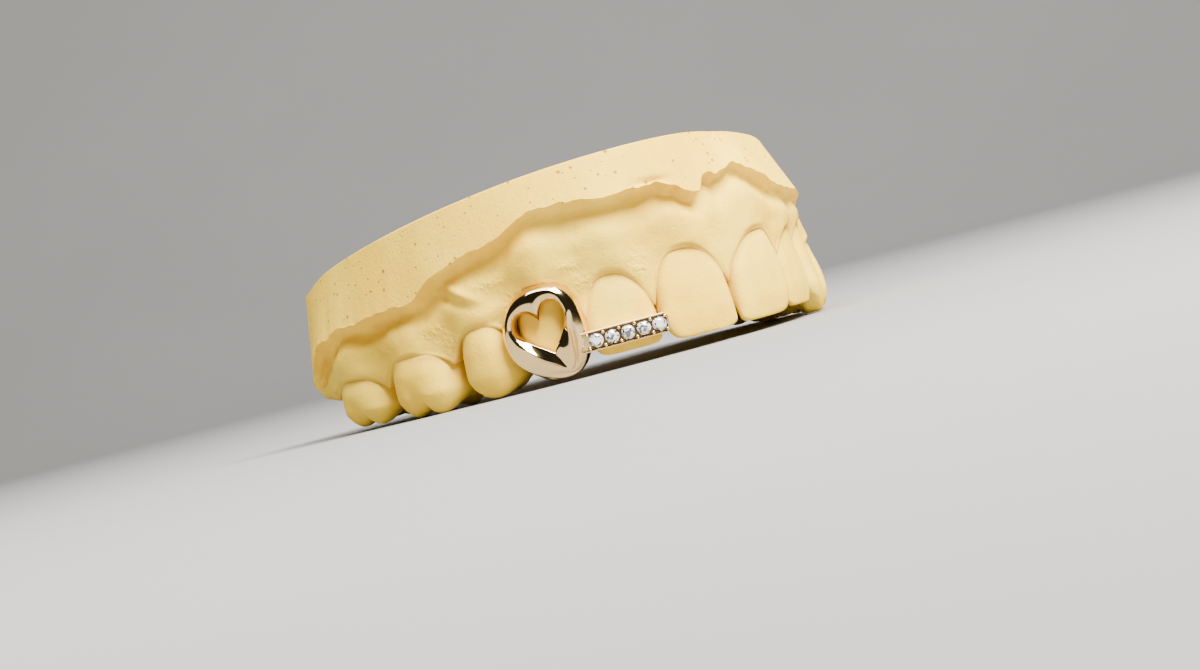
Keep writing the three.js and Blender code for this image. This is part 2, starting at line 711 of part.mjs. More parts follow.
// A flat outline given depth, placed in the bar's frame. low and high are along its thickness.
function barPrism(corners, low, high) {
  const shape = new THREE.Shape(corners.map(([x, y]) => new THREE.Vector2(x, y)));
  const geometry = new THREE.ExtrudeGeometry(shape, { depth: high - low, bevelEnabled: false });
  return solidFrom(geometry.translate(0, 0, low).applyMatrix4(barMatrix));
}

const barFront = barThickness / 2;
const lastStone = barLength - endLand - stoneDiameter / 2;
const stoneAlong = (i) => lastStone - (stoneCount - 1 - i) * stonePitch;
const girdleOut = barFront - railHeight;

function barSolid() {
  const cut = barLength - barChamfer;
  const outline = [
    [-barTail, 0],
    [cut, 0],
    [barLength, barChamfer],
    [barLength, barHeight - barChamfer],
    [cut, barHeight],
    [-barTail, barHeight],
  ];
  const start = stoneAlong(0) - stoneDiameter / 2 - endLand / 2;
  const end = barLength - railWidth;
  const low = railWidth;
  const high = barHeight - railWidth;
  const channel = barPrism([[start, low], [end, low], [end, high], [start, high]], girdleOut, 2 * barFront);
  return barPrism(outline, -barFront, barFront).subtract(channel);
}

// A round brilliant: table, crown, girdle and pavilion. grow gives the seat that it sits in.
function stoneGeometry(index, grow = 0) {
  const r = stoneDiameter / 2;
  const tableR = r * tableShare;
  const crown = stoneDiameter * crownShare;
  const girdle = stoneDiameter * girdleShare;
  const pavilion = stoneDiameter * pavilionShare;
  const profile = [
    new THREE.Vector2(0, -pavilion - grow * seatDeepening),
    new THREE.Vector2(r + grow, -grow),
    new THREE.Vector2(r + grow, girdle + grow),
    new THREE.Vector2(tableR + grow, girdle + crown + grow),
    new THREE.Vector2(0, girdle + crown + grow),
  ];
  const geometry = new THREE.LatheGeometry(profile, stoneSides).rotateX(Math.PI / 2);
  geometry.translate(stoneAlong(index), barHeight / 2, girdleOut - girdle);
  return geometry.applyMatrix4(barMatrix);
}

function beadSolid(along, up) {
  const geometry = new THREE.SphereGeometry(beadRadius, beadSides, beadSides / 2 + 1);
  geometry.translate(along, up, girdleOut + beadRadius * beadLift);
  return solidFrom(geometry.applyMatrix4(barMatrix));
}

// Beads of metal pushed over the girdles, a pair between each two stones and at both ends.
function beadSolids() {
  const beads = [];
  const inset = railWidth + beadRadius * beadInset;
  for (let i = 0; i <= stoneCount; i++) {
    const last = i === stoneCount ? endLand / 2 : 0;
    const along = stoneAlong(i) - stonePitch / 2 - last;
    beads.push(beadSolid(along, inset), beadSolid(along, barHeight - inset));
  }
  return beads;
}

function goldSolid() {
  const shell = shellSolid().subtract(windowSolid());
  const metal = joinAll([shell, ringSolid(), barSolid(), ...beadSolids()]);
  const seats = [];
  for (let i = 0; i < stoneCount; i++) seats.push(solidFrom(stoneGeometry(i, stoneGap)));
  return metal.subtract(castSolid(fitGap)).subtract(joinAll(seats));
}

// Materials

const plaster = new THREE.MeshStandardMaterial({ color: 0xf0e2b6, roughness: 0.85, metalness: 0 });
const gold = new THREE.MeshStandardMaterial({ color: 0xe6cf98, roughness: 0.12, metalness: 1 });
const diamond = new THREE.MeshStandardMaterial({ color: 0xf6f8fb, roughness: 0.02, metalness: 0 });

function namedMesh(name, geometry, material) {
  const mesh = new THREE.Mesh(geometry, material);
  mesh.name = name;
  return mesh;
}

const part = new THREE.Group();
part.add(namedMesh('dental_cast', geometryFrom(castSolid()), plaster));
part.add(namedMesh('heart_cap_and_bar', geometryFrom(goldSolid()), gold));
for (let i = 0; i < stoneCount; i++) part.add(namedMesh(`stone_${i + 1}`, stoneGeometry(i), diamond));

const whole = new THREE.Box3().setFromObject(part);
part.position.set(-(whole.min.x + whole.max.x) / 2, -(whole.min.y + whole.max.y) / 2, -whole.min.z);

export default part;
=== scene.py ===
# %% [markdown]
# A gold heart-window cap with a bar of five round stones, seated on the dental stone cast of an
# upper jaw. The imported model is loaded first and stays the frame: every finer piece made here
# takes the place of one of its solids, in the same millimetres.

# %% Load the frame
import json

import bmesh
import bpy
import numpy as np
from mathutils import Matrix, Vector

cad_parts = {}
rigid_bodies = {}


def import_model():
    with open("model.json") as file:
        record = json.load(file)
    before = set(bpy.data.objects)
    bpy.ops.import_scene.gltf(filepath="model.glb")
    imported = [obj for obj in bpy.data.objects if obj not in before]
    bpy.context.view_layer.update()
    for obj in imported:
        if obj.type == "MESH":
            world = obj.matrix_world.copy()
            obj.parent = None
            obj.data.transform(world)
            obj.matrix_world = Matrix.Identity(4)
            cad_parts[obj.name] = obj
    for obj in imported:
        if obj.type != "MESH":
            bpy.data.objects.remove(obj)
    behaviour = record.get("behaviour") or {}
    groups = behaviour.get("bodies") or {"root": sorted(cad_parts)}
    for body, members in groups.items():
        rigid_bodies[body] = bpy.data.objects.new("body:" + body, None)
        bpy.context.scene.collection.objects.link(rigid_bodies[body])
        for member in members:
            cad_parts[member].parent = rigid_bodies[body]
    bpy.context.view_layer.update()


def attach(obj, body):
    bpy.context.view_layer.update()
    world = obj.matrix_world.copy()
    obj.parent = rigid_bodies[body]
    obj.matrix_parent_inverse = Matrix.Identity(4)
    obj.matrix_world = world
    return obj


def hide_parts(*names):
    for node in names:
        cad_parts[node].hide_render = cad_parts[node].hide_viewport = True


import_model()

MM = 0.001
UP = np.array([0, 0, 1.0])

# %% [markdown]
# The camera comes first. A long lens looks a little downwards at the wearer's right canine, and is rolled, so
# that the cast seems to lie uphill. The place is worked out from the teeth's corners, and stays above the
# floor.

# %% Camera
AZIMUTH = -34.84  # degrees, from the wearer's front towards the right
ELEVATION = 0.8
ROLL = 14.63
DISTANCE = 395.0  # mm
TARGET = (-4.72, -0.22, 3.80)  # mm, the point in the middle of the picture
FOCAL_PIXELS = 3499.0  # at the photograph's width
PHOTO_WIDTH = 1200.0
SENSOR = 36.0


def place_camera():
    """A camera on a sphere round the target: back is the direction from the target to it."""
    turn, rise, roll = np.radians([AZIMUTH, ELEVATION, ROLL])
    back = Vector((np.sin(turn) * np.cos(rise), -np.cos(turn) * np.cos(rise), np.sin(rise)))
    right = Vector((np.cos(turn), np.sin(turn), 0.0))
    up = back.cross(right)
    level = Matrix((right, up, back)).transposed()
    data = bpy.data.cameras.new("camera")
    data.sensor_width = SENSOR
    data.lens = FOCAL_PIXELS * SENSOR / PHOTO_WIDTH
    data.clip_start = 0.01
    camera = bpy.data.objects.new("camera", data)
    camera.matrix_world = (level @ Matrix.Rotation(-roll, 3, "Z")).to_4x4()
    camera.location = (Vector(TARGET) + back * DISTANCE) * MM
    bpy.context.collection.objects.link(camera)
    bpy.context.scene.camera = camera
    return camera


camera = place_camera()
print("camera height over the floor, mm:", round(camera.location.z / MM, 1))

# %% [markdown]
# Every shape below is worked out as whole arrays. Three small tools serve them all: a smooth
# curve through a table of values, a smooth curve through rows of points in space, and a noise
# that gives the same bumps every time.

# %% Smooth curves through tables and points
KNOT_PULL = 2.2  # in lengths of the shorter stretch


def cubic(t, start, end, leave, arrive):
    """The curve from start to end, for t from 0 to 1, that leaves and arrives at the given
    slopes: each of the four has a cubic of its own as its weight."""
    return (
        (2 * t**3 - 3 * t**2 + 1) * start
        + (t**3 - 2 * t**2 + t) * leave
        + (3 * t**2 - 2 * t**3) * end
        + (t**3 - t**2) * arrive
    )


def through(x, xs, ys):
    """A cubic through each pair of neighbours. The slope at a knot is the harmonic mean of the
    slopes on both sides, and zero at a peak, so the curve never swings past its table."""
    xs, ys = np.asarray(xs, float), np.asarray(ys, float)
    slope = np.diff(ys) / np.diff(xs)
    product = slope[1:] * slope[:-1]
    inner = np.where(product > 0, 2 * product / (slope[1:] + slope[:-1] + 1e-30), 0.0)
    tangent = np.concatenate([slope[:1], inner, slope[-1:]])
    i = np.clip(np.searchsorted(xs, x) - 1, 0, len(xs) - 2)
    width = xs[i + 1] - xs[i]
    t = np.clip((x - xs[i]) / width, 0, 1)
    return cubic(t, ys[i], ys[i + 1], width * tangent[i], width * tangent[i + 1])


def spline_rows(knots, steps):
    """Rows of knots (stations, knots, 3) drawn out to smooth rows. Each stretch is a cubic, and
    the direction at a knot is the mean of its two stretches, the shorter one counting more. A
    knot pulls no further along than a few lengths of its shorter stretch, so that two knots set
    close together make a crisp edge between straight sides."""
    step = np.diff(knots, axis=1)
    length = np.linalg.norm(step, axis=2, keepdims=True) + 1e-9
    unit = step / length
    inner = unit[:, :-1] * length[:, 1:] + unit[:, 1:] * length[:, :-1]
    inner /= length[:, :-1] + length[:, 1:]
    tangent = np.concatenate([unit[:, :1], inner, unit[:, -1:]], axis=1)
    ends = np.concatenate([length[:, :1], length, length[:, -1:]], axis=1)
    pull = KNOT_PULL * np.minimum(ends[:, :-1], ends[:, 1:])
    rows = [knots[:, :1]]
    for k, count in enumerate(steps):
        t = (np.arange(1, count + 1) / count)[None, :, None]
        a, b = knots[:, k : k + 1], knots[:, k + 1 : k + 2]
        leave = tangent[:, k : k + 1] * np.minimum(length[:, k : k + 1], pull[:, k : k + 1])
        arrive = tangent[:, k + 1 : k + 2] * np.minimum(length[:, k : k + 1], pull[:, k + 1 : k + 2])
        rows.append(cubic(t, a, b, leave, arrive))
    return np.concatenate(rows, axis=1)


def smoothstep(low, high, x):
    """0 below low, 1 above high, and an S between."""
    t = np.clip((x - low) / (high - low), 0, 1)
    return t * t * (3 - 2 * t)


def bell(x, width):
    """1 at x = 0, falling to a third at x = width."""
    return np.exp(-((x / width) ** 2))


# %% Noise
SCRAMBLE = (73856093, 19349663, 83492791)  # large odd numbers, one for each axis of the lattice
SEED_SCRAMBLE, LAST_SCRAMBLE = 50331653, 1274126177
LEVELS = 0xFFFF  # steps between the lowest and the highest number of a corner


def noise(points, size, seed):
    """Values between -1 and 1 that change over about size: each corner of a cubic lattice has
    its own number, and a point mixes its eight corners with smooth weights."""
    q = np.asarray(points, float) / size
    cell = np.floor(q).astype(np.int64)
    f = q - cell
    f = f * f * (3 - 2 * f)
    total = np.zeros(q.shape[:-1])
    for corner in np.ndindex(2, 2, 2):
        n = cell + np.array(corner)
        mixed = np.bitwise_xor.reduce(n * SCRAMBLE, axis=-1) ^ (seed * SEED_SCRAMBLE)
        mixed = (mixed ^ (mixed >> 13)) * LAST_SCRAMBLE
        value = ((mixed >> 7) & LEVELS) / (LEVELS / 2) - 1
        total += value * np.prod(np.where(np.array(corner) == 1, f, 1 - f), axis=-1)
    return total


# %% Meshes from arrays
WELD = 0.0005  # mm


def grid_quads(rows, columns, wrap_rows=False, wrap_columns=False):
    """Four corners of each cell of a grid of points numbered row by row."""
    r = np.arange(rows if wrap_rows else rows - 1)[:, None]
    c = np.arange(columns if wrap_columns else columns - 1)[None, :]
    below, beside = (r + 1) % rows, (c + 1) % columns
    corners = [r * columns + c, r * columns + beside, below * columns + beside, below * columns + c]
    return np.stack([np.broadcast_to(k, (r.size, c.size)) for k in corners], axis=-1).reshape(-1, 4)


def make_piece(name, points, faces, weld=WELD):
    """A mesh object at the origin from points in mm in the tooth line's frame. Points closer
    than weld are merged, and all faces are turned outwards."""
    mesh = bpy.data.meshes.new(name)
    mesh.from_pydata((np.asarray(points).reshape(-1, 3) + SHIFT) * MM, [], [list(map(int, f)) for f in faces])
    work = bmesh.new()
    work.from_mesh(mesh)
    bmesh.ops.remove_doubles(work, verts=work.verts, dist=weld * MM)
    bmesh.ops.dissolve_degenerate(work, edges=work.edges, dist=weld * MM)
    bmesh.ops.recalc_face_normals(work, faces=work.faces)
    open_edges = sum(1 for e in work.edges if not e.is_manifold)
    work.to_mesh(mesh)
    work.free()
    mesh.update()
    piece = bpy.data.objects.new(name, mesh)
    bpy.context.collection.objects.link(piece)
    if open_edges:
        print(name, "has open edges:", open_edges)
    return piece


def fan(ring, centre):
    """Triangles from a ring of point numbers to one point in its middle."""
    ring = np.asarray(ring)
    return np.stack([ring, np.roll(ring, -1), np.full(len(ring), centre)], axis=-1)


def loft(name, loops):
    """A closed piece through loops (loops, points, 3), with a fan over the first and last."""
    count, around = loops.shape[:2]
    points = np.concatenate([loops.reshape(-1, 3), loops[0].mean(0)[None], loops[-1].mean(0)[None]])
    faces = grid_quads(count, around, wrap_columns=True).tolist()
    faces += fan(np.arange(around)[::-1], count * around).tolist()
    faces += fan(np.arange(around) + (count - 1) * around, count * around + 1).tolist()
    return make_piece(name, points, faces)


def combine(target, tools, operation="UNION"):
    """The target joined with, or cut by, each tool in turn. The tools are used up."""
    for tool in tools:
        modifier = target.modifiers.new("join", "BOOLEAN")
        modifier.operation = operation
        modifier.solver = "MANIFOLD"
        modifier.object = tool
        shaped = target.evaluated_get(bpy.context.evaluated_depsgraph_get())
        mesh = bpy.data.meshes.new_from_object(shaped)
        target.modifiers.clear()
        target.data = mesh
        bpy.data.objects.remove(tool)
    return target


def triangle_count(piece):
    """Triangles of a piece: a face with n corners is n - 2 of them."""
    sides = np.empty(len(piece.data.polygons), np.int32)
    piece.data.polygons.foreach_get("loop_total", sides)
    return int((sides - 2).sum())


def smooth_by_angle(piece, degrees):
    """Smooth shading, with edges sharper than the angle kept crisp."""
    piece.data.shade_smooth()
    piece.data.set_sharp_from_angle(angle=np.radians(degrees))


# %% [markdown]
# The teeth stand on a line that is half an ellipse with a short straight leg behind each end. A
# place on the cast is given by its run along this line, its distance outwards and its height.
# These sizes are the ones that the part is built from, so the pieces sit where its solids sit.

# %% The tooth line
ARCH_HALF_WIDTH, ARCH_DEPTH, HEEL_LENGTH = 26.2, 34.8, 4.5
SHIFT = np.array([0.1455, 17.1818, -0.0844])  # from the tooth line's frame to the part's
LINE_ANGLE = np.linspace(0, np.pi / 2, 721)
LINE_X, LINE_Y = ARCH_HALF_WIDTH * np.sin(LINE_ANGLE), -ARCH_DEPTH * np.cos(LINE_ANGLE)
LINE_RUN = np.concatenate([[0], np.cumsum(np.hypot(np.diff(LINE_X), np.diff(LINE_Y)))])
FULL_RUN = LINE_RUN[-1] + HEEL_LENGTH


def line_at(run):
    """Place and outward direction: the angle of the ellipse at that length, then straight back.
    The direction out of an ellipse is (x / a squared, y / b squared)."""
    run = np.asarray(run, float)
    length, side = np.abs(run), np.where(run < 0, -1.0, 1.0)
    angle = np.interp(length, LINE_RUN, LINE_ANGLE)
    x, y = ARCH_HALF_WIDTH * np.sin(angle), -ARCH_DEPTH * np.cos(angle)
    out = np.stack([side * x / ARCH_HALF_WIDTH**2, y / ARCH_DEPTH**2, 0 * x], -1)
    out /= np.linalg.norm(out, axis=-1, keepdims=True)
    place = np.stack([side * x, y + np.maximum(0, length - LINE_RUN[-1]), 0 * x], -1)
    return place, out


def beside(run, out, z):
    """The point at a run, a distance outwards and a height, as whole arrays."""
    place, direction = line_at(run)
    point = place + direction * np.asarray(out)[..., None]
    point[..., 2] = z
    return point


print("tooth line, mm:", round(2 * FULL_RUN, 1))

# %% The teeth of one side, from the midline back
TOOTH_WIDTH, CROWN_DEPTH, CROWN_HEIGHT = 9.2, 5.0, 10.9  # a molar's width and face, an incisor's gum
TOOTH_SHARES = [  # kind, width, face, back, tip, neck and papilla, as shares of those three sizes
    ("incisor", 0.913, 0.58, 0.72, 0.13, 1.0, 0.56),
    ("incisor", 0.75, 0.48, 0.64, 0.156, 0.936, 0.6),
    ("canine", 0.848, 0.62, 0.84, 0.018, 0.972, 0.62),
    ("premolar", 0.75, 0.84, 0.92, 0.018, 0.734, 0.569),
    ("molar", 1.0, 1.0, 1.12, 0.0, 0.615, 0.44),
    ("molar", 1.0, 0.94, 1.08, 0.037, 0.532, 0.367),
]
TEETH, TOOTH_RUN = [], 0.0
for kind, width, face, back, *heights in TOOTH_SHARES:
    tooth = dict(kind=kind, width=width * TOOTH_WIDTH, face=face * CROWN_DEPTH, back=back * CROWN_DEPTH)
    tooth.update(zip(("tip", "neck", "papilla"), CROWN_HEIGHT * np.array(heights)))
    tooth.update(start=TOOTH_RUN, middle=TOOTH_RUN + tooth["width"] / 2)
    TOOTH_RUN += tooth["width"]
    TEETH.append(tooth)
print("teeth end at", round(TOOTH_RUN, 1), "of", round(FULL_RUN, 1))

# %% [markdown]
# The gum's edge rises over each crown and dips between two of them, which is what makes a row of teeth read
# as teeth. It is worked out once, for the cast's section, and again later to paint the thin line of shade
# that falls in its crease.

# %% The gum's edge
GUM_LIP, GUM_ROLL, ROOT_BULGE, PALATE_RISE = 0.3, 0.45, 0.5, 1.6
FESTOON_POWER, ZENITH, PINCH, LEFT_LEAN = 2.5, 0.14, 0.24, 1.1
PAPILLA_SKEW = [(-8.4, -1.15), (8.4, 0.8), (-15.3, -1.2)]  # run of a papilla, how much higher it is
SKEW_WIDTH, FLESH_SPAN = 2.5, 2.0
FRONT_TEETH, HEEL_HEIGHT, HEEL_THINNING = 3, 4.6, 0.25
INNER_FESTOON = 0.3  # the gum's edge is straighter on the tongue's side
FACE_AT_GUM, BACK_AT_GUM = 0.88, 0.95  # shares of a tooth's greatest reach
LEAN_FROM, LEAN_FULL = 8.0, 18.0  # runs between which the left side comes to lean in


def tooth_columns(run, *names):
    """The named sizes of the tooth at each run, as arrays, and its number."""
    length = np.abs(np.asarray(run, float))
    index = np.clip(np.searchsorted([t["start"] for t in TEETH], length, side="right") - 1, 0, len(TEETH) - 1)
    return [np.array([t[n] for t in TEETH])[index] for n in names] + [index]


def gum_edge(run, festoon=1.0):
    """Height of the gum's edge: the tooth's neck near its middle, the papilla at its sides, with
    a steep power between, and with festoon below 1 nearer to a straight line. On the front teeth
    the highest point lies a little towards the back of the jaw, and some papillas hang lower
    on one side of the jaw than on the other."""
    length = np.abs(np.asarray(run, float))
    middle, width, neck, papilla, index = tooth_columns(run, "middle", "width", "neck", "papilla")
    following = np.array([t["papilla"] for t in TEETH] + [TEETH[-1]["papilla"]])[index + 1]
    share = np.clip((length - middle) / (width / 2), -1, 1)
    line = papilla + (following - papilla) * (share + 1) / 2 + PALATE_RISE
    share = share - np.where(index < FRONT_TEETH, ZENITH, 0.0) * (1 - share**2)
    skew = sum(amount * bell(run - at, SKEW_WIDTH) for at, amount in PAPILLA_SKEW)
    side = np.where(share < 0, papilla, following) + skew
    full = neck + (side - neck) * np.abs(share) ** FESTOON_POWER
    edge = line + (full - line) * festoon
    heel = np.clip((length - TOOTH_RUN) / (FULL_RUN - TOOTH_RUN), 0, 1)
    return np.where(length > TOOTH_RUN, TEETH[-1]["papilla"] * (1 - heel) + HEEL_HEIGHT * heel, edge)


def lean(run):
    """How far the wearer's left side leans in at the gum, against the right."""
    return LEFT_LEAN * smoothstep(LEAN_FROM, LEAN_FULL, np.asarray(run, float))


def soft_edge(run):
    """The edge as the flesh above it follows it: its weighted mean over a few millimetres, so
    that the sharp dips between two teeth don't run up the gum as creases."""
    offsets = np.linspace(-FLESH_SPAN, FLESH_SPAN, 11)
    weights = 1 - (offsets / (FLESH_SPAN * 1.2)) ** 2
    return (gum_edge(np.asarray(run)[..., None] + offsets) * weights).sum(-1) / weights.sum()


def gum_reach(run):
    """How far the gum's edge stands out of the tooth line, outwards and inwards: a smooth curve
    through the teeth's own reach, drawn in towards each contact along a cosine."""
    length = np.abs(np.asarray(run, float))
    middle, width, _ = tooth_columns(run, "middle", "width")
    middles, faces, backs = [[t[n] for t in TEETH] for n in ("middle", "face", "back")]
    share = np.clip((length - middle) / (width / 2), -1, 1)
    heel = 1 - HEEL_THINNING * np.clip((length - TOOTH_RUN) / HEEL_LENGTH, 0, 1)
    pinch = 1 - PINCH * (0.5 - 0.5 * np.cos(np.pi * share)) ** 1.5
    face, back = through(length, middles, faces), through(length, middles, backs)
    outward = face * FACE_AT_GUM * pinch * heel + GUM_LIP - lean(run)
    return outward, back * BACK_AT_GUM * heel + GUM_LIP + lean(run)


# %% [markdown]
# The trimmed base. A grinding wheel leaves a flat top and a plain wall, and the wall breaks off
# above the gum in an uneven ledge with a shaded hollow under it. The ledge's height along the
# jaw is a short table, with small noise for the chipped stone.

# %% The base and the ledge
WALL_STANDOFF, COVE, TOP_HEIGHT, TOP_RISE, TOP_TILT = 5.0, 1.5, 16.7, 9.5, 2.5
BASE = [  # place between the heels, and shares of the standoff for the rim, the ledge and the gum
    (-1.0, 0.34, 0.72, 0.5), (-0.95, 0.46, 0.94, 0.62), (-0.86, 0.6, 1.02, 0.76),
    (-0.7, 0.8, 1.06, 0.76), (-0.62, 0.87, 1.06, 0.74), (-0.5, 0.95, 1.06, 0.76),
    (-0.37, 0.97, 1.06, 0.76), (-0.2, 0.86, 1.0, 0.64), (-0.1, 0.76, 0.92, 0.58),
    (-0.05, 0.68, 0.86, 0.56), (-0.02, 0.6, 0.8, 0.56), (0.06, 0.34, 0.72, 0.5),
    (0.2, 0.12, 0.62, 0.46), (0.42, 0.04, 0.56, 0.4), (0.7, 0.6, 0.86, 0.6),
    (0.9, 0.8, 0.96, 0.66), (1.0, 0.34, 0.72, 0.5),
]
HEEL_DROOP = 0.6  # how far the worn rim falls at the right heel
CORNER_DROP, RAGGED, DROOP_FROM = 0.16, 0.12, 45.0
GUM_TOP_SHARE, LEAST_COVE = 0.75, 0.5  # the hollow under the ledge
HEEL_FROM, HEEL_TO = 4.0, 0.8  # distances from the heel's end between which it turns straight
NICKS = [(4.2, 0.3, 0.35), (2.6, 0.1, 0.5)]  # run, depth and width of the nicks in the rim
MIDDLE_DEPTH, MIDDLE_POWER = 0.7, 1.3  # where the sections meet, as a share of the arch's depth
PALATE_FRONT, PALATE_REAR, PALATE_POWER = 9.2, 12.6, 0.8
LEDGE = [  # run along the tooth line, height of the wall's broken edge
    (-52.7, 6.4), (-50.6, 7.6), (-49.4, 9.3), (-46.5, 11.0), (-44.4, 11.5), (-42.4, 12.0),
    (-36.8, 12.3), (-32.3, 12.7), (-29.4, 14.4), (-26.0, 15.9), (-22.0, 16.7), (-20.3, 17.7),
    (-17.9, 18.8), (-13.2, 18.7), (-9.8, 18.2), (-8.0, 18.5), (-6.1, 18.4), (-4.2, 17.6),
    (-2.6, 16.7), (-1.9, 16.7), (-1.1, 18.1), (-0.4, 18.2), (0.4, 17.7), (1.4, 17.9), (3.2, 18.7),
    (4.9, 17.8), (7.3, 16.9), (8.7, 16.2), (10.5, 15.2), (14.0, 14.5), (20.0, 14.0), (28.0, 13.0),
    (36.0, 12.0), (44.0, 11.0), (49.4, 9.3), (52.7, 6.4),
]


def top_height(x, y):
    """The ground top: a plane that climbs towards the front and falls to the wearer's left."""
    return TOP_HEIGHT - y * np.tan(np.radians(TOP_RISE)) - x * np.tan(np.radians(TOP_TILT))


def ledge_height(run):
    """The table's height with chips of two sizes."""
    run = np.asarray(run, float)
    at = np.stack([run, 0 * run, 0 * run], -1)
    chips = 0.2 * noise(at, 1.9, 3) + 0.12 * noise(at, 0.6, 5)
    return through(run, *zip(*LEDGE)) + chips


# %% The cast's section
# Steps between the section's knots, and the numbers of some of those knots.
STEPS = [10, 3, 3, 26, 3, 3, 8, 8, 12, 12, 10, 4, 4, 3, 3, 4, 10, 10, 10, 8]
CORNER_KNOT, LIP_KNOT, COVE_KNOT, HOLLOW_KNOT, ROLL_KNOT, EDGE_KNOT, PALATE_KNOT = 3, 5, 7, 8, 11, 12, 16
HEEL_SHARES = (0.2, 0.42, 0.62, 0.82)  # of the way from ledge to gum, for a straight heel
PALATE_SHARES = (0.22, 0.5, 0.8, 1.0)  # of the way from the gum's edge to the middle


def rim_knots(run, rim, middle_y):
    """The middle of the top, then out over it to the rim's rounded corner, with its nicks."""
    droop = HEEL_DROOP * smoothstep(DROOP_FROM, FULL_RUN, -run)

    def on_top(inset):
        point = beside(run, rim - inset, 0.0)
        point[..., 2] = top_height(point[..., 0], point[..., 1]) - droop
        return point

    middle = np.stack([0 * run, middle_y, top_height(0, middle_y)], -1)
    nick = sum(deep * bell(run - at, wide) for at, deep, wide in NICKS)
    corner = on_top(0.0) - UP * (CORNER_DROP + nick)[:, None]
    return [middle, on_top(0.22), (on_top(0.07) + corner) / 2 + UP * 0.03, corner]


def gum_knots(run, rim, lip, gum, out):
    """Down the wall to the ledge's lip, in under it, over the gum to its rolled edge, and up
    under the teeth. Near the heels the knots below the lip move to a straight line, as the cast
    is trimmed there."""
    ledge, edge, soft = ledge_height(run), gum_edge(run), soft_edge(run) + GUM_ROLL
    gum_top = np.maximum(ledge - COVE, ledge + (soft - ledge) * GUM_TOP_SHARE)
    gum_top = np.minimum(gum_top, ledge - LEAST_COVE)
    depth, roll = ledge - gum_top, edge + GUM_ROLL
    bulge = ROOT_BULGE * (1 - 0.7 * smoothstep(6, 12, run))
    ragged = RAGGED * noise(np.stack([run, 0 * run, 0 * run], -1), 0.9, 8)
    wall = beside(run, rim + (lip - rim) * 0.985, ledge + 0.16)
    under = beside(run, lip - 0.1 + 0.5 * ragged, ledge - 0.03)
    hidden = [
        beside(run, gum + (lip - gum) * 0.35 + ragged, ledge - 0.06 - 0.1 * depth),
        beside(run, gum - 0.3, ledge - 0.55 * depth),
        beside(run, gum + (out - gum) * 0.35 + bulge, gum_top + (soft - gum_top) * 0.33),
        beside(run, gum + (out - gum) * 0.7 + bulge * 0.7, gum_top + (soft - gum_top) * 0.68),
    ]
    heelward = smoothstep(FULL_RUN - HEEL_FROM, FULL_RUN - HEEL_TO, np.abs(run))[:, None]
    for n, down in enumerate(HEEL_SHARES):
        straight = beside(run, lip + (out - lip) * down, ledge + (roll - ledge) * down)
        hidden[n] = hidden[n] * (1 - heelward) + straight * heelward
    knots = [wall, beside(run, lip, ledge + 0.05), under, *hidden, beside(run, out, roll)]
    knots += [beside(run, out - GUM_ROLL * 0.35, edge + GUM_ROLL * 0.25)]
    return knots + [beside(run, out - GUM_ROLL, edge + 0.05), beside(run, 0 * run, roll)]


def palate_knots(run, back, middle_y):
    """From the gum's inner edge up to the middle of the palate, steeply at first, as a sine."""
    edge = gum_edge(run, INNER_FESTOON)
    share = np.abs(run) / FULL_RUN
    palate = PALATE_FRONT + (PALATE_REAR - PALATE_FRONT) * share**PALATE_POWER
    inner = beside(run, -back, edge + GUM_ROLL)
    centre = np.stack([0 * run, middle_y, palate], -1)
    knots = [beside(run, GUM_ROLL - back, edge), inner]
    for t in PALATE_SHARES:
        point = inner + (centre - inner) * t
        point[:, 2] = inner[:, 2] + (palate - inner[:, 2]) * np.sin(t * np.pi / 2) ** 0.9
        knots.append(point)
    return knots


def cast_sections(run):
    """Knots of the section at each run: from the middle of the top out to the rim, down the
    wall, under the ledge, over the gum, across under the teeth, and up into the palate."""
    places, *reaches = zip(*BASE)
    rim, lip, gum = [through(run / FULL_RUN, places, reach) * WALL_STANDOFF for reach in reaches]
    out, back = gum_reach(run)
    depth = ARCH_DEPTH * MIDDLE_DEPTH
    middle_y = -depth + (HEEL_LENGTH + depth) * (np.abs(run) / FULL_RUN) ** MIDDLE_POWER
    knots = rim_knots(run, rim, middle_y) + gum_knots(run, rim, lip, gum, out)
    return np.stack(knots + palate_knots(run, back, middle_y), axis=1)


# %% Relief of the gum and the wall
WALL_FEATURES = [(-6.3, 18.75, 1.5, 0.4, -4, -0.4)]  # an oval chip on the ledge
ROOT_SWELL, CANINE_SWELL, CANINE_RUN = 0.34, 0.4, -19.2
GUM_FEATURES = [  # run, height, half length, half height, turn in degrees, how far it stands out
    (-30.3, 13.2, 1.5, 0.35, -18, 0.3),  # a fold of tissue, in two parts
    (-27.4, 12.6, 2.3, 0.45, -36, 0.42),
    (-28.8, 12.0, 2.6, 0.5, -32, -0.36),
    (-40.6, 11.2, 2.0, 0.3, -8, 0.26),
    (-1.5, 15.6, 1.1, 0.1, -48, -0.22),  # a thin crease on the gum
    (-0.9, 15.9, 0.8, 0.09, -40, -0.14),
    (-24.6, 9.4, 2.2, 0.9, 8, 0.3),  # the swell over the premolar
    (-0.5, 15.4, 1.0, 3.2, 0, 0.25),  # the band of tissue at the midline
]


def relief(run, z, features):
    """Each feature is a turned oval bell."""
    height = np.zeros_like(run)
    for at, level, long, tall, turn, stand in features:
        c, s = np.cos(np.radians(turn)), np.sin(np.radians(turn))
        dx, dz = run - at, z - level
        height += stand * np.exp(-(((c * dx + s * dz) / long) ** 2) - ((c * dz - s * dx) / tall) ** 2)
    return height


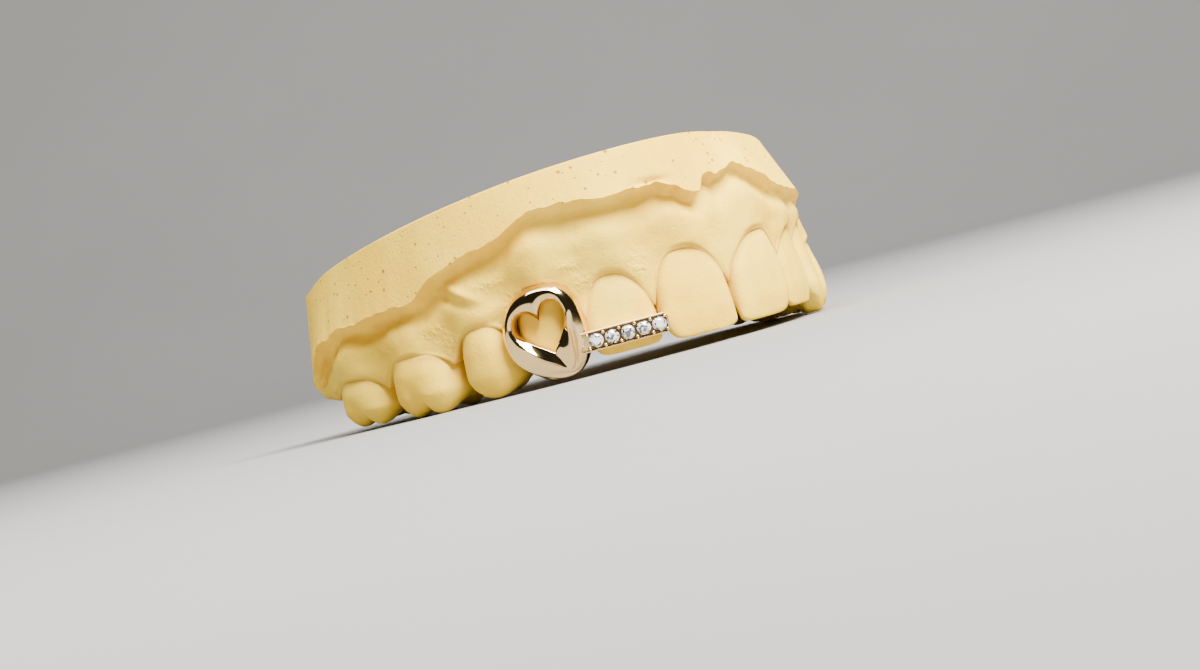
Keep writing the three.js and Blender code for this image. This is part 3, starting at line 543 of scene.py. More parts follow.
def build_cast_body():
    """Sections side by side from heel to heel, closed by one flat face at the rear. The points
    are pushed along the surface's normal by the relief, the swell over the roots and noise."""
    half = np.concatenate([np.linspace(0, TOOTH_RUN, 181), np.linspace(TOOTH_RUN, FULL_RUN, 14)[1:]])
    run = np.concatenate([-half[::-1], half[1:]])
    points = spline_rows(cast_sections(run), STEPS)
    count, across = points.shape[:2]
    marks = np.cumsum([0] + STEPS)
    column = np.arange(across)
    normal = np.cross(np.gradient(points, axis=1), np.gradient(points, axis=0))
    normal /= np.linalg.norm(normal, axis=2, keepdims=True) + 1e-12
    outside = (column >= marks[CORNER_KNOT]) & (column <= marks[EDGE_KNOT])
    gum = smoothstep(marks[COVE_KNOT], marks[HOLLOW_KNOT], column)
    gum = gum * (1 - smoothstep(marks[ROLL_KNOT] - 3, marks[ROLL_KNOT] + 1, column))
    runs = np.broadcast_to(run[:, None], (count, across))
    push = np.where(outside[None], relief(runs, points[..., 2], WALL_FEATURES), 0)
    push = push + gum[None] * relief(runs, points[..., 2], GUM_FEATURES)
    share = (np.abs(runs) - tooth_columns(runs, "middle")[0]) / (tooth_columns(runs, "width")[0] / 2)
    root = np.cos(np.clip(share, -1, 1) * np.pi) * 0.5
    swell = (ROOT_SWELL + CANINE_SWELL * bell(runs - CANINE_RUN, 3.0)) * root
    push = push + gum[None] * (swell + 0.2 * noise(points, 4.2, 11) + 0.06 * noise(points, 1.3, 12))
    under = (column >= marks[LIP_KNOT]) & (column <= marks[HOLLOW_KNOT])
    push = push + np.where(under[None], 0.1 * noise(points, 0.8, 21), 0)
    inner = smoothstep(marks[PALATE_KNOT], marks[PALATE_KNOT + 1], column)[None]
    push = push + inner * 0.12 * noise(points, 3.0, 31) * smoothstep(0.3, 2.5, np.abs(points[..., 0]))
    push = push * smoothstep(0, 2.0, FULL_RUN - np.abs(runs))
    on_wall = marks[CORNER_KNOT] + 5
    sign = np.sign(np.sum(normal[:, on_wall] * line_at(run)[1], axis=1).mean())
    points = points + sign * normal * push[..., None]
    points[0, :, 1] = points[-1, :, 1] = HEEL_LENGTH
    faces = grid_quads(count, across).tolist()
    rear = list(range(across)) + [(count - 1) * across + i for i in range(across - 2, 0, -1)]
    faces.append(rear)
    return make_piece("cast_body", points, faces, weld=0.002)


cast = build_cast_body()
print("cast body:", triangle_count(cast), "triangles")

# %% [markdown]
# A crown is a stack of rounded loops from the biting face up into the gum. Its half width, face
# and back come from a table for its kind, and the biting face is lifted between the cusps. The
# forms are plain textbook ones.

# %% Crown tables
CROWN_FORMS = {  # height from tip to gum, half width, face and back as shares of the tooth's own
    "incisor": [
        (0.0, 0.47, 0.80, -0.36), (0.07, 0.495, 0.86, -0.30), (0.3, 0.518, 0.97, 0.0),
        (0.6, 0.5, 1.0, 0.45), (0.85, 0.44, 0.95, 0.9), (1.0, 0.38, 0.87, 1.0), (1.14, 0.28, 0.4, 0.7),
    ],
    "canine": [
        (0.0, 0.34, 0.74, -0.1), (0.1, 0.43, 0.86, 0.05), (0.3, 0.51, 0.98, 0.4),
        (0.6, 0.48, 1.0, 0.8), (0.85, 0.43, 0.95, 1.0), (1.0, 0.39, 0.88, 1.0), (1.14, 0.3, 0.35, 0.7),
    ],
    "premolar": [
        (0.0, 0.38, 0.66, 0.55), (0.12, 0.46, 0.82, 0.76), (0.35, 0.51, 0.96, 0.95),
        (0.65, 0.485, 1.0, 1.0), (0.9, 0.43, 0.96, 0.95), (1.0, 0.41, 0.91, 0.9), (1.2, 0.3, 0.5, 0.55),
    ],
    "molar": [
        (0.0, 0.40, 0.72, 0.6), (0.15, 0.47, 0.87, 0.8), (0.4, 0.515, 0.99, 0.97),
        (0.7, 0.50, 1.0, 1.0), (0.9, 0.465, 0.965, 0.95), (1.0, 0.45, 0.93, 0.93), (1.25, 0.35, 0.6, 0.6),
    ],
}
CUSPS = {  # along, out, how far it reaches down, spread
    "premolar": [(-0.05, 0.55, 1.0, 0.95), (0.0, -0.45, 0.85, 0.8)],
    "molar": [
        (-0.46, 0.58, 1.0, 0.52), (0.46, 0.56, 0.92, 0.5),
        (-0.42, -0.48, 0.95, 0.56), (0.46, -0.42, 0.75, 0.5),
    ],
}
CUSP_DEPTH, EDGE_LIFT, CANINE_LIFT, TIP_ROLL = 1.6, 0.9, 2.0, 0.3
BITE_HEIGHT, BITE_POWER = 0.42, 1.2  # share of the crown that the cusps' shape reaches up
GROOVE_DEPTH, GROOVE_WIDTH, LOBE_DEPTH = 0.7, 0.13, 0.06
SQUARE = {"incisor": 0.64, "canine": 0.78, "premolar": 0.8, "molar": 0.74}  # 1 for an ellipse
CAPPED, CAPPED_SQUARE = (2, -1), 0.66  # the third tooth on the wearer's right
FIT_GAP, SHELL_WALL = 0.25, 0.35
STANCE = {CAPPED: (0.6, 0.5), (1, -1): (0.3, 0.75)}  # tooth: how far it stands back, and is wider

# %% One crown


def crown_section(tooth, height, grow):
    """Half width, face and back of a crown at a share of its height."""
    rows = np.array(CROWN_FORMS[tooth["kind"]])
    half, face, back = [through(height, rows[:, 0], rows[:, k]) for k in (1, 2, 3)]
    return half * tooth["stone_width"] + grow, face * tooth["face"] + grow, back * tooth["back"] + grow


def bite_rise(kind, distal, out):
    """How far the biting face lies above the tip: corners of an edge, or fossa between cusps."""
    if kind == "incisor":
        return EDGE_LIFT * np.where(distal > 0, 0.7 * np.abs(distal) ** 5, 0.25 * np.abs(distal) ** 10)
    if kind == "canine":
        return CANINE_LIFT * (np.sqrt(distal**2 + 0.02) - 0.14)
    drop = np.zeros_like(distal)
    for along, across, reach, spread in CUSPS[kind]:
        drop = np.maximum(drop, reach * np.exp(-((distal - along) ** 2 + (out - across) ** 2) / spread**2))
    return CUSP_DEPTH * (1 - drop)


def shaped_tooth(index, side):
    """The tooth's sizes; the one under the cap is narrower and higher, to leave the shell room,
    and squarer, so that its face fills the window. It and its neighbour stand a little further
    back along the jaw, and are a little wider than their share."""
    narrowing = 2 * (2 * FIT_GAP + SHELL_WALL) if (index, side) == CAPPED else 0.0
    tooth = dict(TEETH[index], side=side)
    further, wider = STANCE.get((index, side), (0.0, 0.0))
    tooth["stone_width"] = tooth["width"] - narrowing + wider
    tooth["stone_tip"] = tooth["tip"] + narrowing / 2
    tooth["centre"] = tooth["middle"] + further
    tooth["square"] = CAPPED_SQUARE if narrowing else SQUARE[tooth["kind"]]
    return tooth


def crown_loops(tooth, grow=0.0, around=64, bite_rings=9, wall_rings=34, to_gum=False):
    """Loops of a crown: rings of the biting face from its middle out, then rings up the sides.
    A ring is a circle squared off a little, with sine and cosine raised to a power under 1. With
    to_gum the loops end just under the gum's edge, as a cap does."""
    place, out = line_at(tooth["side"] * tooth["centre"])
    aside = np.array([-out[1], out[0], 0.0])
    tall = tooth["neck"] - tooth["stone_tip"]
    low = TIP_ROLL / tall
    top = CROWN_FORMS[tooth["kind"]][-1][0]
    share = np.concatenate([np.linspace(0, 1, bite_rings + 1)[1:], np.ones(wall_rings)])
    up_the_wall = low + (top - low) * np.linspace(0, 1, wall_rings + 1)[1:]
    height = np.concatenate([np.full(bite_rings, low), up_the_wall])
    half, face, back = [v[:, None] for v in crown_section(tooth, height, grow)]
    angle = np.linspace(0, 2 * np.pi, around, endpoint=False)[None]
    square = tooth["square"]
    along = np.sign(np.cos(angle)) * np.abs(np.cos(angle)) ** square * share[:, None]
    over = np.sign(np.sin(angle)) * np.abs(np.sin(angle)) ** square * share[:, None]
    stand = (face - back) / 2 + (face + back) / 2 * over
    stand = stand - lean(tooth["side"] * tooth["centre"]) * smoothstep(0.0, 1.0, height)[:, None]
    distal = along * tooth["side"]
    out_share = np.where(stand >= 0, stand / tooth["face"], stand / tooth["back"])
    biting = np.clip(1 - height / BITE_HEIGHT, 0, 1)[:, None] ** BITE_POWER
    rise = biting * bite_rise(tooth["kind"], distal, out_share)
    roll = TIP_ROLL * (1 - np.sqrt(1 - np.minimum(share, 0.9999) ** 6))[:, None] - TIP_ROLL
    z = tooth["stone_tip"] + (height * tall)[:, None] + np.where(share[:, None] < 1, roll, 0) + rise
    z = z - grow * (height <= low)[:, None] + grow * (height >= top)[:, None]
    outer = smoothstep(0.2, 0.8, over / np.maximum(share[:, None], 1e-6))
    if tooth["kind"] == "molar":
        lean_back = 0.02 + 0.25 * height[:, None]
        groove = bell(distal - lean_back, GROOVE_WIDTH) * outer
        groove = groove * (1 - smoothstep(0.15, 0.7, height))[:, None]
        stand = stand - GROOVE_DEPTH * groove
        half = half * (1 - 0.02 * groove)
    if tooth["kind"] == "incisor":
        lobes = np.cos(distal * np.pi * 2.2) * outer * bell(height - 0.35, 0.4)[:, None]
        stand = stand + LOBE_DEPTH * lobes
        half = half * (1 + np.where(distal > 0, -0.1, 0.05) * bell(height, 0.16)[:, None])
    points = place + out * stand[..., None] + aside * (half * along)[..., None]
    if to_gum:
        run = tooth["side"] * tooth["centre"] + half * along
        inside = smoothstep(-0.3, 0.3, -over)
        z = np.minimum(z, gum_edge(run) * (1 - inside) + gum_edge(run, INNER_FESTOON) * inside - 0.06)
    points[..., 2] = z
    wobble = 0.05 * noise(points, 2.3, 41 + tooth["side"]) + 0.015 * noise(points, 0.7, 43)
    points += out * (wobble * (share[:, None] >= 1))[..., None] * (0 if grow else 1)
    return points


crowns = []
for side in (-1, 1):
    for index in range(len(TEETH)):
        crowns.append(loft(f"crown_{index}_{side}", crown_loops(shaped_tooth(index, side))))
print("crowns:", sum(map(triangle_count, crowns)), "triangles")
cast = combine(cast, crowns)
cast.name = "dental_stone_cast"
print("cast with teeth:", triangle_count(cast), "triangles")

# %% [markdown]
# Colour follows the form: painted shade makes the stone darker and more yellow along the gum's edge, between
# two teeth and on the tooth behind the heart window, and only the ground wall shows the marks of the wheel.
# Each vertex is turned back into a run, a distance and a height, and four masks are kept on the mesh for the
# material.

# %% Masks on the cast
# Widths of the painted shade along the gum's crease and between two teeth.
EDGE_SHADE_WIDTH, CONTACT_SHADE_WIDTH = 0.42, 0.75  # widths of the darker lines along the gum and between teeth


def places_of(piece):
    """A piece's vertices in mm, in the tooth line's frame."""
    points = np.empty(len(piece.data.vertices) * 3)
    piece.data.vertices.foreach_get("co", points)
    return points.reshape(-1, 3) / MM - SHIFT


def run_and_out(points):
    """The nearest of many samples of the tooth line gives the run; the way along its outward
    direction gives the distance."""
    samples = np.linspace(-FULL_RUN, FULL_RUN, 1401)
    place, out = line_at(samples)
    nearest = np.empty(len(points), int)
    for first in range(0, len(points), 8000):
        block = points[first : first + 8000, None, :2] - place[None, :, :2]
        nearest[first : first + 8000] = np.argmin((block**2).sum(-1), axis=1)
    gap = points[:, :2] - place[nearest, :2]
    return samples[nearest], (gap * out[nearest, :2]).sum(-1)


def keep_mask(piece, name, values):
    """One number per vertex, which the material reads as an attribute."""
    layer = piece.data.attributes.new(name, "FLOAT", "POINT")
    layer.data.foreach_set("value", np.clip(values, 0, 1).astype(np.float32))


ROUGH = [  # run, height, half length and half height of the patches of rough skin on the gum
    (-21.6, 10.3, 1.6, 1.0), (-14.6, 10.2, 1.7, 0.9), (-30.6, 9.0, 2.2, 1.0), (-29.5, 7.4, 1.4, 0.9),
    (-9.2, 10.4, 1.0, 1.6), (-24.0, 12.6, 1.5, 0.7), (-38.0, 8.6, 2.0, 0.8), (-16.0, 12.2, 1.2, 0.6),
]


def mask_cast(piece):
    """Each mask is a smooth step or a bell of a vertex's run, distance and height."""
    points = places_of(piece)
    run, out = run_and_out(points)
    z = points[:, 2]
    edge, reach = gum_edge(run), gum_reach(run)[0]
    # Painted shade: a dark line in the crease along the gum's edge.
    edge_shade = bell(z - edge - 0.1, EDGE_SHADE_WIDTH) * (out > 0) * (out < reach + 0.35)
    bounds = np.array([t["start"] for t in TEETH] + [TOOTH_RUN])
    to_contact = np.min(np.abs(np.abs(run)[:, None] - bounds[None]), axis=1)
    # Painted shade in the crease between two teeth.
    between = bell(to_contact, CONTACT_SHADE_WIDTH) * (z < edge + 1.2) * smoothstep(1.2, 3.0, z)
    ledge = ledge_height(run)
    wall = smoothstep(-0.15, 0.1, z - ledge) * (out > 0)
    wall = np.maximum(wall, z > top_height(points[:, 0], points[:, 1]) - 0.3)
    gum = smoothstep(-0.2, 0.5, z - edge) * (1 - smoothstep(-0.9, -0.2, z - ledge)) * (out > 0)
    # Painted shade and reflected gold light on the tooth behind the heart window.
    capped_tooth_shade = (np.abs(run + TEETH[2]["middle"]) < 4.2) & (out > 0) & (z < edge)
    edge_shade = np.maximum(edge_shade, 0.35 * capped_tooth_shade)
    rough = sum(
        bell(np.hypot((run - at) / wide, (z - level) / tall), 1.0) for at, level, wide, tall in ROUGH
    )
    keep_mask(piece, "rough", rough * gum)
    # The edge mask is painted shade: the gum's crease, the contacts between teeth and the tooth behind the
    # heart window.
    keep_mask(piece, "edge", np.maximum(edge_shade, 0.9 * between))
    keep_mask(piece, "wall", wall)
    keep_mask(piece, "gum", gum)


mask_cast(cast)
smooth_by_angle(cast, 42)

# %% [markdown]
# The gold cap. Its ring lies between two outlines in the cap's own frame: a lopsided heart with
# a deep notch, and a rounded shield. The surface between them is a profile that changes round
# the ring: a thick roll at the top and on the left, and on the lower right a raised frame that
# follows the heart's point, with a fold outside it.

# %% The cap's frame and outlines
CAP_HEIGHT, CAP_WIDTH, CAP_BOTTOM, CAP_SETBACK = 10.3, 8.6, 0.6, 0.65
WINDOW_WIDTH, WINDOW_HEIGHT, RING_THICKNESS, RING_FALL, RING_REACH = 5.75, 5.6, 1.25, 1.3, 0.3
CAP_HALF = np.array([CAP_WIDTH, CAP_HEIGHT]) / 2
HEART_CENTRE = np.array([-0.012, 0.11]) * CAP_HALF
CAP_MIDDLE_Z = CAP_BOTTOM + CAP_HEIGHT / 2
cap_tooth = shaped_tooth(*CAPPED)
CAP_PLACE, CAP_OUT = line_at(CAPPED[1] * cap_tooth["middle"])
CAP_ACROSS = np.array([-CAP_OUT[1], CAP_OUT[0], 0.0])
HEART_START, NOTCH_PLACE = (0.04, 0.33), 0.055
HEART = [  # two handles and the end of each curve, and the outline's place that it faces
    ((-0.06, 0.52), (-0.27, 0.75), (-0.52, 0.75), 0.125),
    ((-0.82, 0.75), (-1.0, 0.54), (-1.0, 0.24), 0.255),
    ((-1.0, -0.2), (-0.32, -0.53), (0.33, -1.0), 0.613),
    ((0.53, -0.66), (1.0, -0.1), (1.0, 0.38), 0.85),
    ((1.0, 0.73), (0.82, 1.0), (0.56, 1.0), 0.965),
    ((0.3, 1.0), (0.15, 0.76), (0.04, 0.33), 1.055),
]
OUTLINE = [
    (0.38, 1.05), (-0.31, 0.98), (-0.77, 0.73), (-1.0, 0.2), (-0.86, -0.5), (-0.33, -0.86), (0.36, -1.0),
    (0.93, -0.72), (1.09, -0.1), (0.93, 0.73),
]


def cap_point(across, up, out):
    """A point of the cap's frame in the tooth line's frame."""
    aside = (np.asarray(across) - CAP_SETBACK)[..., None]
    flat = CAP_PLACE + CAP_ACROSS * aside + CAP_OUT * np.asarray(out)[..., None]
    flat[..., 2] = CAP_MIDDLE_Z + up
    return flat


def shell_face(across, up):
    """How far out the shell's face lies, falling back with the square of the distance from the
    tooth's middle, and less on the side where the ring passes in front of the next tooth."""
    tip, neck = cap_tooth["stone_tip"], cap_tooth["neck"]
    height = (CAP_MIDDLE_Z + up - tip) / (neck - tip)
    aside = (across - CAP_SETBACK) / CAP_HALF[0]
    face = crown_section(cap_tooth, height, FIT_GAP + SHELL_WALL)[1]
    return face - np.where(aside > 0, RING_FALL, RING_REACH) * aside**2


def heart_path(per_curve):
    """The heart as cubic curves, each split evenly; also how far each point is round the ring."""
    t = np.arange(per_curve)[:, None] / per_curve
    begin, rows, places, place = np.array(HEART_START), [], [], NOTCH_PLACE
    for first, second, last, faces in HEART:
        a, b, c = map(np.array, (first, second, last))
        rows.append((1 - t) ** 3 * begin + 3 * (1 - t) ** 2 * t * a + 3 * (1 - t) * t**2 * b + t**3 * c)
        places.append(place + (faces - place) * t[:, 0])
        begin, place = c, faces
    half = np.array([WINDOW_WIDTH, WINDOW_HEIGHT]) / 2
    return HEART_CENTRE + np.concatenate(rows) * half, np.concatenate(places)


def cap_outline(places):
    """A smooth closed curve that keeps close to the outline's points: each coordinate is a short
    sum of sines and cosines fitted to them, and is read at shares of the way round."""
    points = np.array(OUTLINE) * CAP_HALF
    chord = np.linalg.norm(np.diff(np.vstack([points, points[:1]]), axis=0), axis=1)
    at = np.concatenate([[0], np.cumsum(chord)[:-1]]) / chord.sum()

    def waves(s):
        terms = [np.ones_like(s)]
        for k in (1, 2, 3, 4):
            terms += [np.cos(2 * np.pi * k * s), np.sin(2 * np.pi * k * s)]
        return np.stack(terms, -1)

    weights = np.linalg.lstsq(waves(at), points, rcond=None)[0]
    return waves(places) @ weights


# %% The ring's crest
CREST = [  # place, across, up, height, fold outside it, bevel inside it, heart's edge, body's height
    (0.055, -0.01, 0.855, 1.00, 0.0, 0.0, 0.36, 0.86),
    (0.125, -0.42, 0.69, 0.98, 0.0, 0.0, 0.38, 0.86),
    (0.19, -0.70, 0.515, 0.96, 0.0, 0.0, 0.38, 0.86),
    (0.255, -0.826, 0.252, 0.94, 0.0, 0.0, 0.38, 0.84),
    (0.345, -0.70, -0.068, 0.90, 0.02, 0.2, 0.34, 0.78),
    (0.434, -0.465, -0.262, 0.86, 0.10, 0.7, 0.34, 0.72),
    (0.524, -0.07, -0.54, 0.80, 0.16, 1.0, 0.40, 0.70),
    (0.57, 0.186, -0.67, 0.76, 0.18, 1.0, 0.40, 0.70),
    (0.613, 0.484, -0.845, 0.70, 0.20, 1.0, 0.38, 0.72),
    (0.64, 0.61, -0.748, 0.78, 0.24, 1.0, 0.42, 0.80),
    (0.672, 0.68, -0.505, 0.88, 0.30, 1.0, 0.44, 0.92),
    (0.7315, 0.693, -0.184, 0.94, 0.30, 1.0, 0.42, 0.96),
    (0.791, 0.71, 0.068, 0.98, 0.18, 0.7, 0.38, 0.94),
    (0.85, 0.767, 0.33, 1.00, 0.05, 0.2, 0.36, 0.90),
    (0.91, 0.71, 0.60, 1.02, 0.0, 0.0, 0.36, 0.88),
    (0.965, 0.49, 0.816, 1.02, 0.0, 0.0, 0.36, 0.86),
    (1.01, 0.22, 0.865, 1.01, 0.0, 0.0, 0.36, 0.86),
]
RING_STEPS = [5, 2, 6, 7, 6, 3, 3, 4, 8, 8, 6, 4, 5]


def crest_at(places):
    """The table's columns at any place: it repeats every turn, so three turns of it are read."""
    rows = np.array(CREST)
    whole = np.concatenate([np.column_stack([rows[:, 0] + turn, rows[:, 1:]]) for turn in (-1, 0, 1)])
    return [through(places, whole[:, 0], whole[:, c]) for c in range(1, rows.shape[1])]


def build_ring():
    """Loops that go from the heart's edge out to the crest, on to the outline, and back under.
    Between the edge and the crest the surface is a round roll, or with bevel a flat facet, and
    outside the crest it dips by the fold before the body swells again."""
    heart, places = heart_path(56)
    outer = cap_outline(places)
    across, up, high, fold, bevel, edge, body = crest_at(places)
    crest = np.stack([across, up], -1) * CAP_HALF
    climb = high - edge
    inner_part = [(0.0, -0.9 + 0 * edge), (0.0, edge - 0.06), (0.04, edge)]
    inner_part += [(0.3, edge + climb * (0.6 - 0.38 * bevel)), (0.64, edge + climb * (0.92 - 0.34 * bevel))]
    inner_part += [(0.94, edge + climb * (0.997 - 0.05 * bevel)), (1.0, high)]
    outer_part = [(0.07, high - 0.004 - 0.5 * fold), (0.17, high * 0.98 - fold)]
    outer_part += [(0.45, high * body), (0.76, high * body * 0.74)]
    outer_part += [(0.94, 0.34 + 0 * high), (1.0, -0.05 + 0 * high), (0.96, -0.75 + 0 * high)]
    flat = [heart + (crest - heart) * share for share, _ in inner_part]
    flat += [crest + (outer - crest) * share for share, _ in outer_part]
    flat = np.stack(flat, axis=1)
    level = np.stack([h for _, h in inner_part + outer_part], axis=1)
    rise = shell_face(flat[..., 0], flat[..., 1]) + level * RING_THICKNESS
    rows = spline_rows(cap_point(flat[..., 0], flat[..., 1], rise), RING_STEPS)
    faces = grid_quads(rows.shape[0], rows.shape[1], wrap_rows=True, wrap_columns=True)
    return make_piece("ring", rows, faces)


ring = build_ring()
print("ring:", triangle_count(ring), "triangles")

# %% The shell under the ring


def build_window():
    """The heart, a little larger, as a straight prism through the shell's face."""
    heart = heart_path(40)[0]
    across, up = (HEART_CENTRE + (heart - HEART_CENTRE) * (1 + 0.5 / WINDOW_WIDTH)).T
    inner = cap_point(across, up, np.zeros(len(heart)))
    outer = cap_point(across, up, shell_face(across, up) + RING_THICKNESS * 0.2)
    return loft("window", np.stack([inner, outer]))


shell = loft("shell", crown_loops(cap_tooth, FIT_GAP + SHELL_WALL, around=96, wall_rings=40, to_gum=True))
shell = combine(shell, [build_window()], "DIFFERENCE")
hollow = loft("hollow", crown_loops(cap_tooth, FIT_GAP, around=96, wall_rings=40))
print("shell:", triangle_count(shell), "triangles")

# %% [markdown]
# The bar is a small tray: two bright rails, a cut floor with a seat for each stone, and beads of
# metal pushed over the girdles. Its front is worked out as one height over its length and
# width, so rails, seats and beads run into each other as they do in carved metal.

# %% The bar's frame
BAR_HEIGHT, BAR_THICKNESS, BAR_LIFT, BAR_ROOT, BAR_REACH, BAR_TAIL = 2.2, 1.15, 2.6, 3.6, 0.65, 1.0
BAR_STANDOFF, BAR_END_STANDOFF, BAR_CHAMFER, RAIL_WIDTH, RAIL_HEIGHT = 3.35, 3.0, 0.45, 0.2, 0.25
STONE_COUNT, STONE_DIAMETER, STONE_PITCH, END_LAND, BEAD_RADIUS = 5, 1.58, 1.77, 0.28, 0.2
END_ROUND, EDGE_DROP, EDGE_ROUND = 0.06, 0.05, 0.07
BAR_START = beside(np.array(CAPPED[1] * (cap_tooth["middle"] - BAR_ROOT)), BAR_STANDOFF, BAR_LIFT)
BAR_END = beside(np.array(CAPPED[1] * (TEETH[1]["start"] - BAR_REACH)), BAR_END_STANDOFF, BAR_LIFT)
BAR_LENGTH = np.linalg.norm(BAR_END - BAR_START)
BAR_ALONG = (BAR_END - BAR_START) / BAR_LENGTH
BAR_OUT = np.cross(BAR_ALONG, UP)
STONES = BAR_LENGTH - END_LAND - STONE_DIAMETER / 2 - STONE_PITCH * np.arange(STONE_COUNT)[::-1]
FLOOR = BAR_THICKNESS / 2 - RAIL_HEIGHT


def bar_point(along, up, out):
    """A point of the bar's frame in the tooth line's frame."""
    flat = BAR_START + BAR_ALONG * np.asarray(along)[..., None] + BAR_OUT * np.asarray(out)[..., None]
    flat[..., 2] = BAR_LIFT + up
    return flat


print("bar, mm:", round(float(BAR_LENGTH), 2), "stones at", STONES.round(2))

# %% The bar's surface


def bar_front(along, up):
    """Height of the front: rails round the edge, a floor, cone seats, and rounded beads."""
    half = BAR_HEIGHT / 2
    rail_edge = np.minimum(half - np.abs(up - half), BAR_LENGTH - along)
    height = FLOOR + RAIL_HEIGHT * (1 - smoothstep(RAIL_WIDTH * 0.75, RAIL_WIDTH * 1.25, rail_edge))
    from_stone = np.hypot(along[..., None] - STONES, up[..., None] - half).min(-1)
    seat = -0.05 - 0.7 * (STONE_DIAMETER / 2 - from_stone)
    height = np.where(from_stone < STONE_DIAMETER / 2 + 0.02, np.minimum(height, FLOOR + seat), height)
    rows = np.concatenate([STONES - STONE_PITCH / 2, STONES[-1:] + STONE_PITCH / 2 - END_LAND / 2])
    inset = RAIL_WIDTH + BEAD_RADIUS * 0.95
    for level in (inset, BAR_HEIGHT - inset):
        away = np.hypot(along[..., None] - rows, up[..., None] - level).min(-1)
        bead = FLOOR + 0.1 + np.sqrt(np.maximum(BEAD_RADIUS**2 - away**2, 0))
        height = np.where(away < BEAD_RADIUS, np.maximum(height, bead), height)
    return height


def build_bar():
    """Closed loops round the bar at each place along it: the front from bottom to top, then the
    back. The last loops draw in to the cut corners, and all edges are rounded."""
    straight = np.linspace(-BAR_TAIL, BAR_LENGTH - END_ROUND, 250)
    rounded = BAR_LENGTH - END_ROUND * np.cos(np.linspace(0, np.pi / 2, 5))[1:]
    along = np.concatenate([straight, rounded])
    chamfer = np.maximum(0, BAR_CHAMFER - (BAR_LENGTH - along))
    low, high = chamfer, BAR_HEIGHT - chamfer
    t = np.linspace(0, 1, 72)
    up = low[:, None] + (high - low)[:, None] * t
    front = bar_front(np.broadcast_to(along[:, None], up.shape), up)
    side = np.minimum(up - low[:, None], high[:, None] - up)
    front = front - EDGE_DROP * (1 - smoothstep(0, EDGE_ROUND, side))
    back_up = up[:, ::-1][:, ::12]
    back = np.full_like(back_up, -BAR_THICKNESS / 2)
    rows = [bar_point(along[:, None], up, front), bar_point(along[:, None], back_up, back)]
    return loft("bar", np.concatenate(rows, axis=1))


bar = build_bar()
print("bar:", triangle_count(bar), "triangles")

# %% Join the gold and cut it clear of the stone cast
CLEARANCE = 0.04  # mm, so thin that it reads as contact


def grown_copy(piece, by):
    """A copy whose every vertex is moved out along its normal."""
    mesh = piece.data.copy()
    points, normals = np.empty(len(mesh.vertices) * 3), np.empty(len(mesh.vertices) * 3)
    mesh.vertices.foreach_get("co", points)
    mesh.vertex_normals.foreach_get("vector", normals)
    mesh.vertices.foreach_set("co", points + normals * by * MM)
    mesh.update()
    copy = bpy.data.objects.new("grown", mesh)
    bpy.context.collection.objects.link(copy)
    return copy


gold = combine(shell, [ring, bar])
gold = combine(gold, [hollow, grown_copy(cast, CLEARANCE)], "DIFFERENCE")
gold.name = "gold_heart_cap_and_stone_bar"
smooth_by_angle(gold, 32)
print("gold:", triangle_count(gold), "triangles")

# %% A mask for the painted shade on the bar's floor


def mask_channel_shade(piece):
    """1 on the bar's floor, between the rails and under the stones, where the material paints the shade of
    that recess.
    """
    away = places_of(piece) - BAR_START
    along, out, up = away @ BAR_ALONG, away @ BAR_OUT, away[:, 2]
    inside = (along > 0) & (along < BAR_LENGTH - RAIL_WIDTH)
    inside &= np.abs(up - BAR_HEIGHT / 2) < BAR_HEIGHT / 2 - RAIL_WIDTH
    inside &= (out > -BAR_THICKNESS / 2 + 0.01) & (out < FLOOR + 0.06)
    keep_mask(piece, "channel_shade", inside.astype(float))
    return int(inside.sum())


print("vertices on the bar's floor:", mask_channel_shade(gold))

# %% [markdown]
# A round brilliant has a table, eight stars, eight kites and sixteen upper halves above the
# girdle, and eight mains with sixteen lower halves below. All corners lie on rings, so the
# stone is worked out from five rings of points and never smoothed.

# %% One brilliant
CROWN_SHARE, GIRDLE_SHARE, PAVILION_SHARE = 0.15, 0.03, 0.43  # heights as shares of the diameter
TABLE_SHARE, STAR_SHARE, LOWER_SHARE = 0.55, 0.80, 0.25  # radii as shares of the girdle's


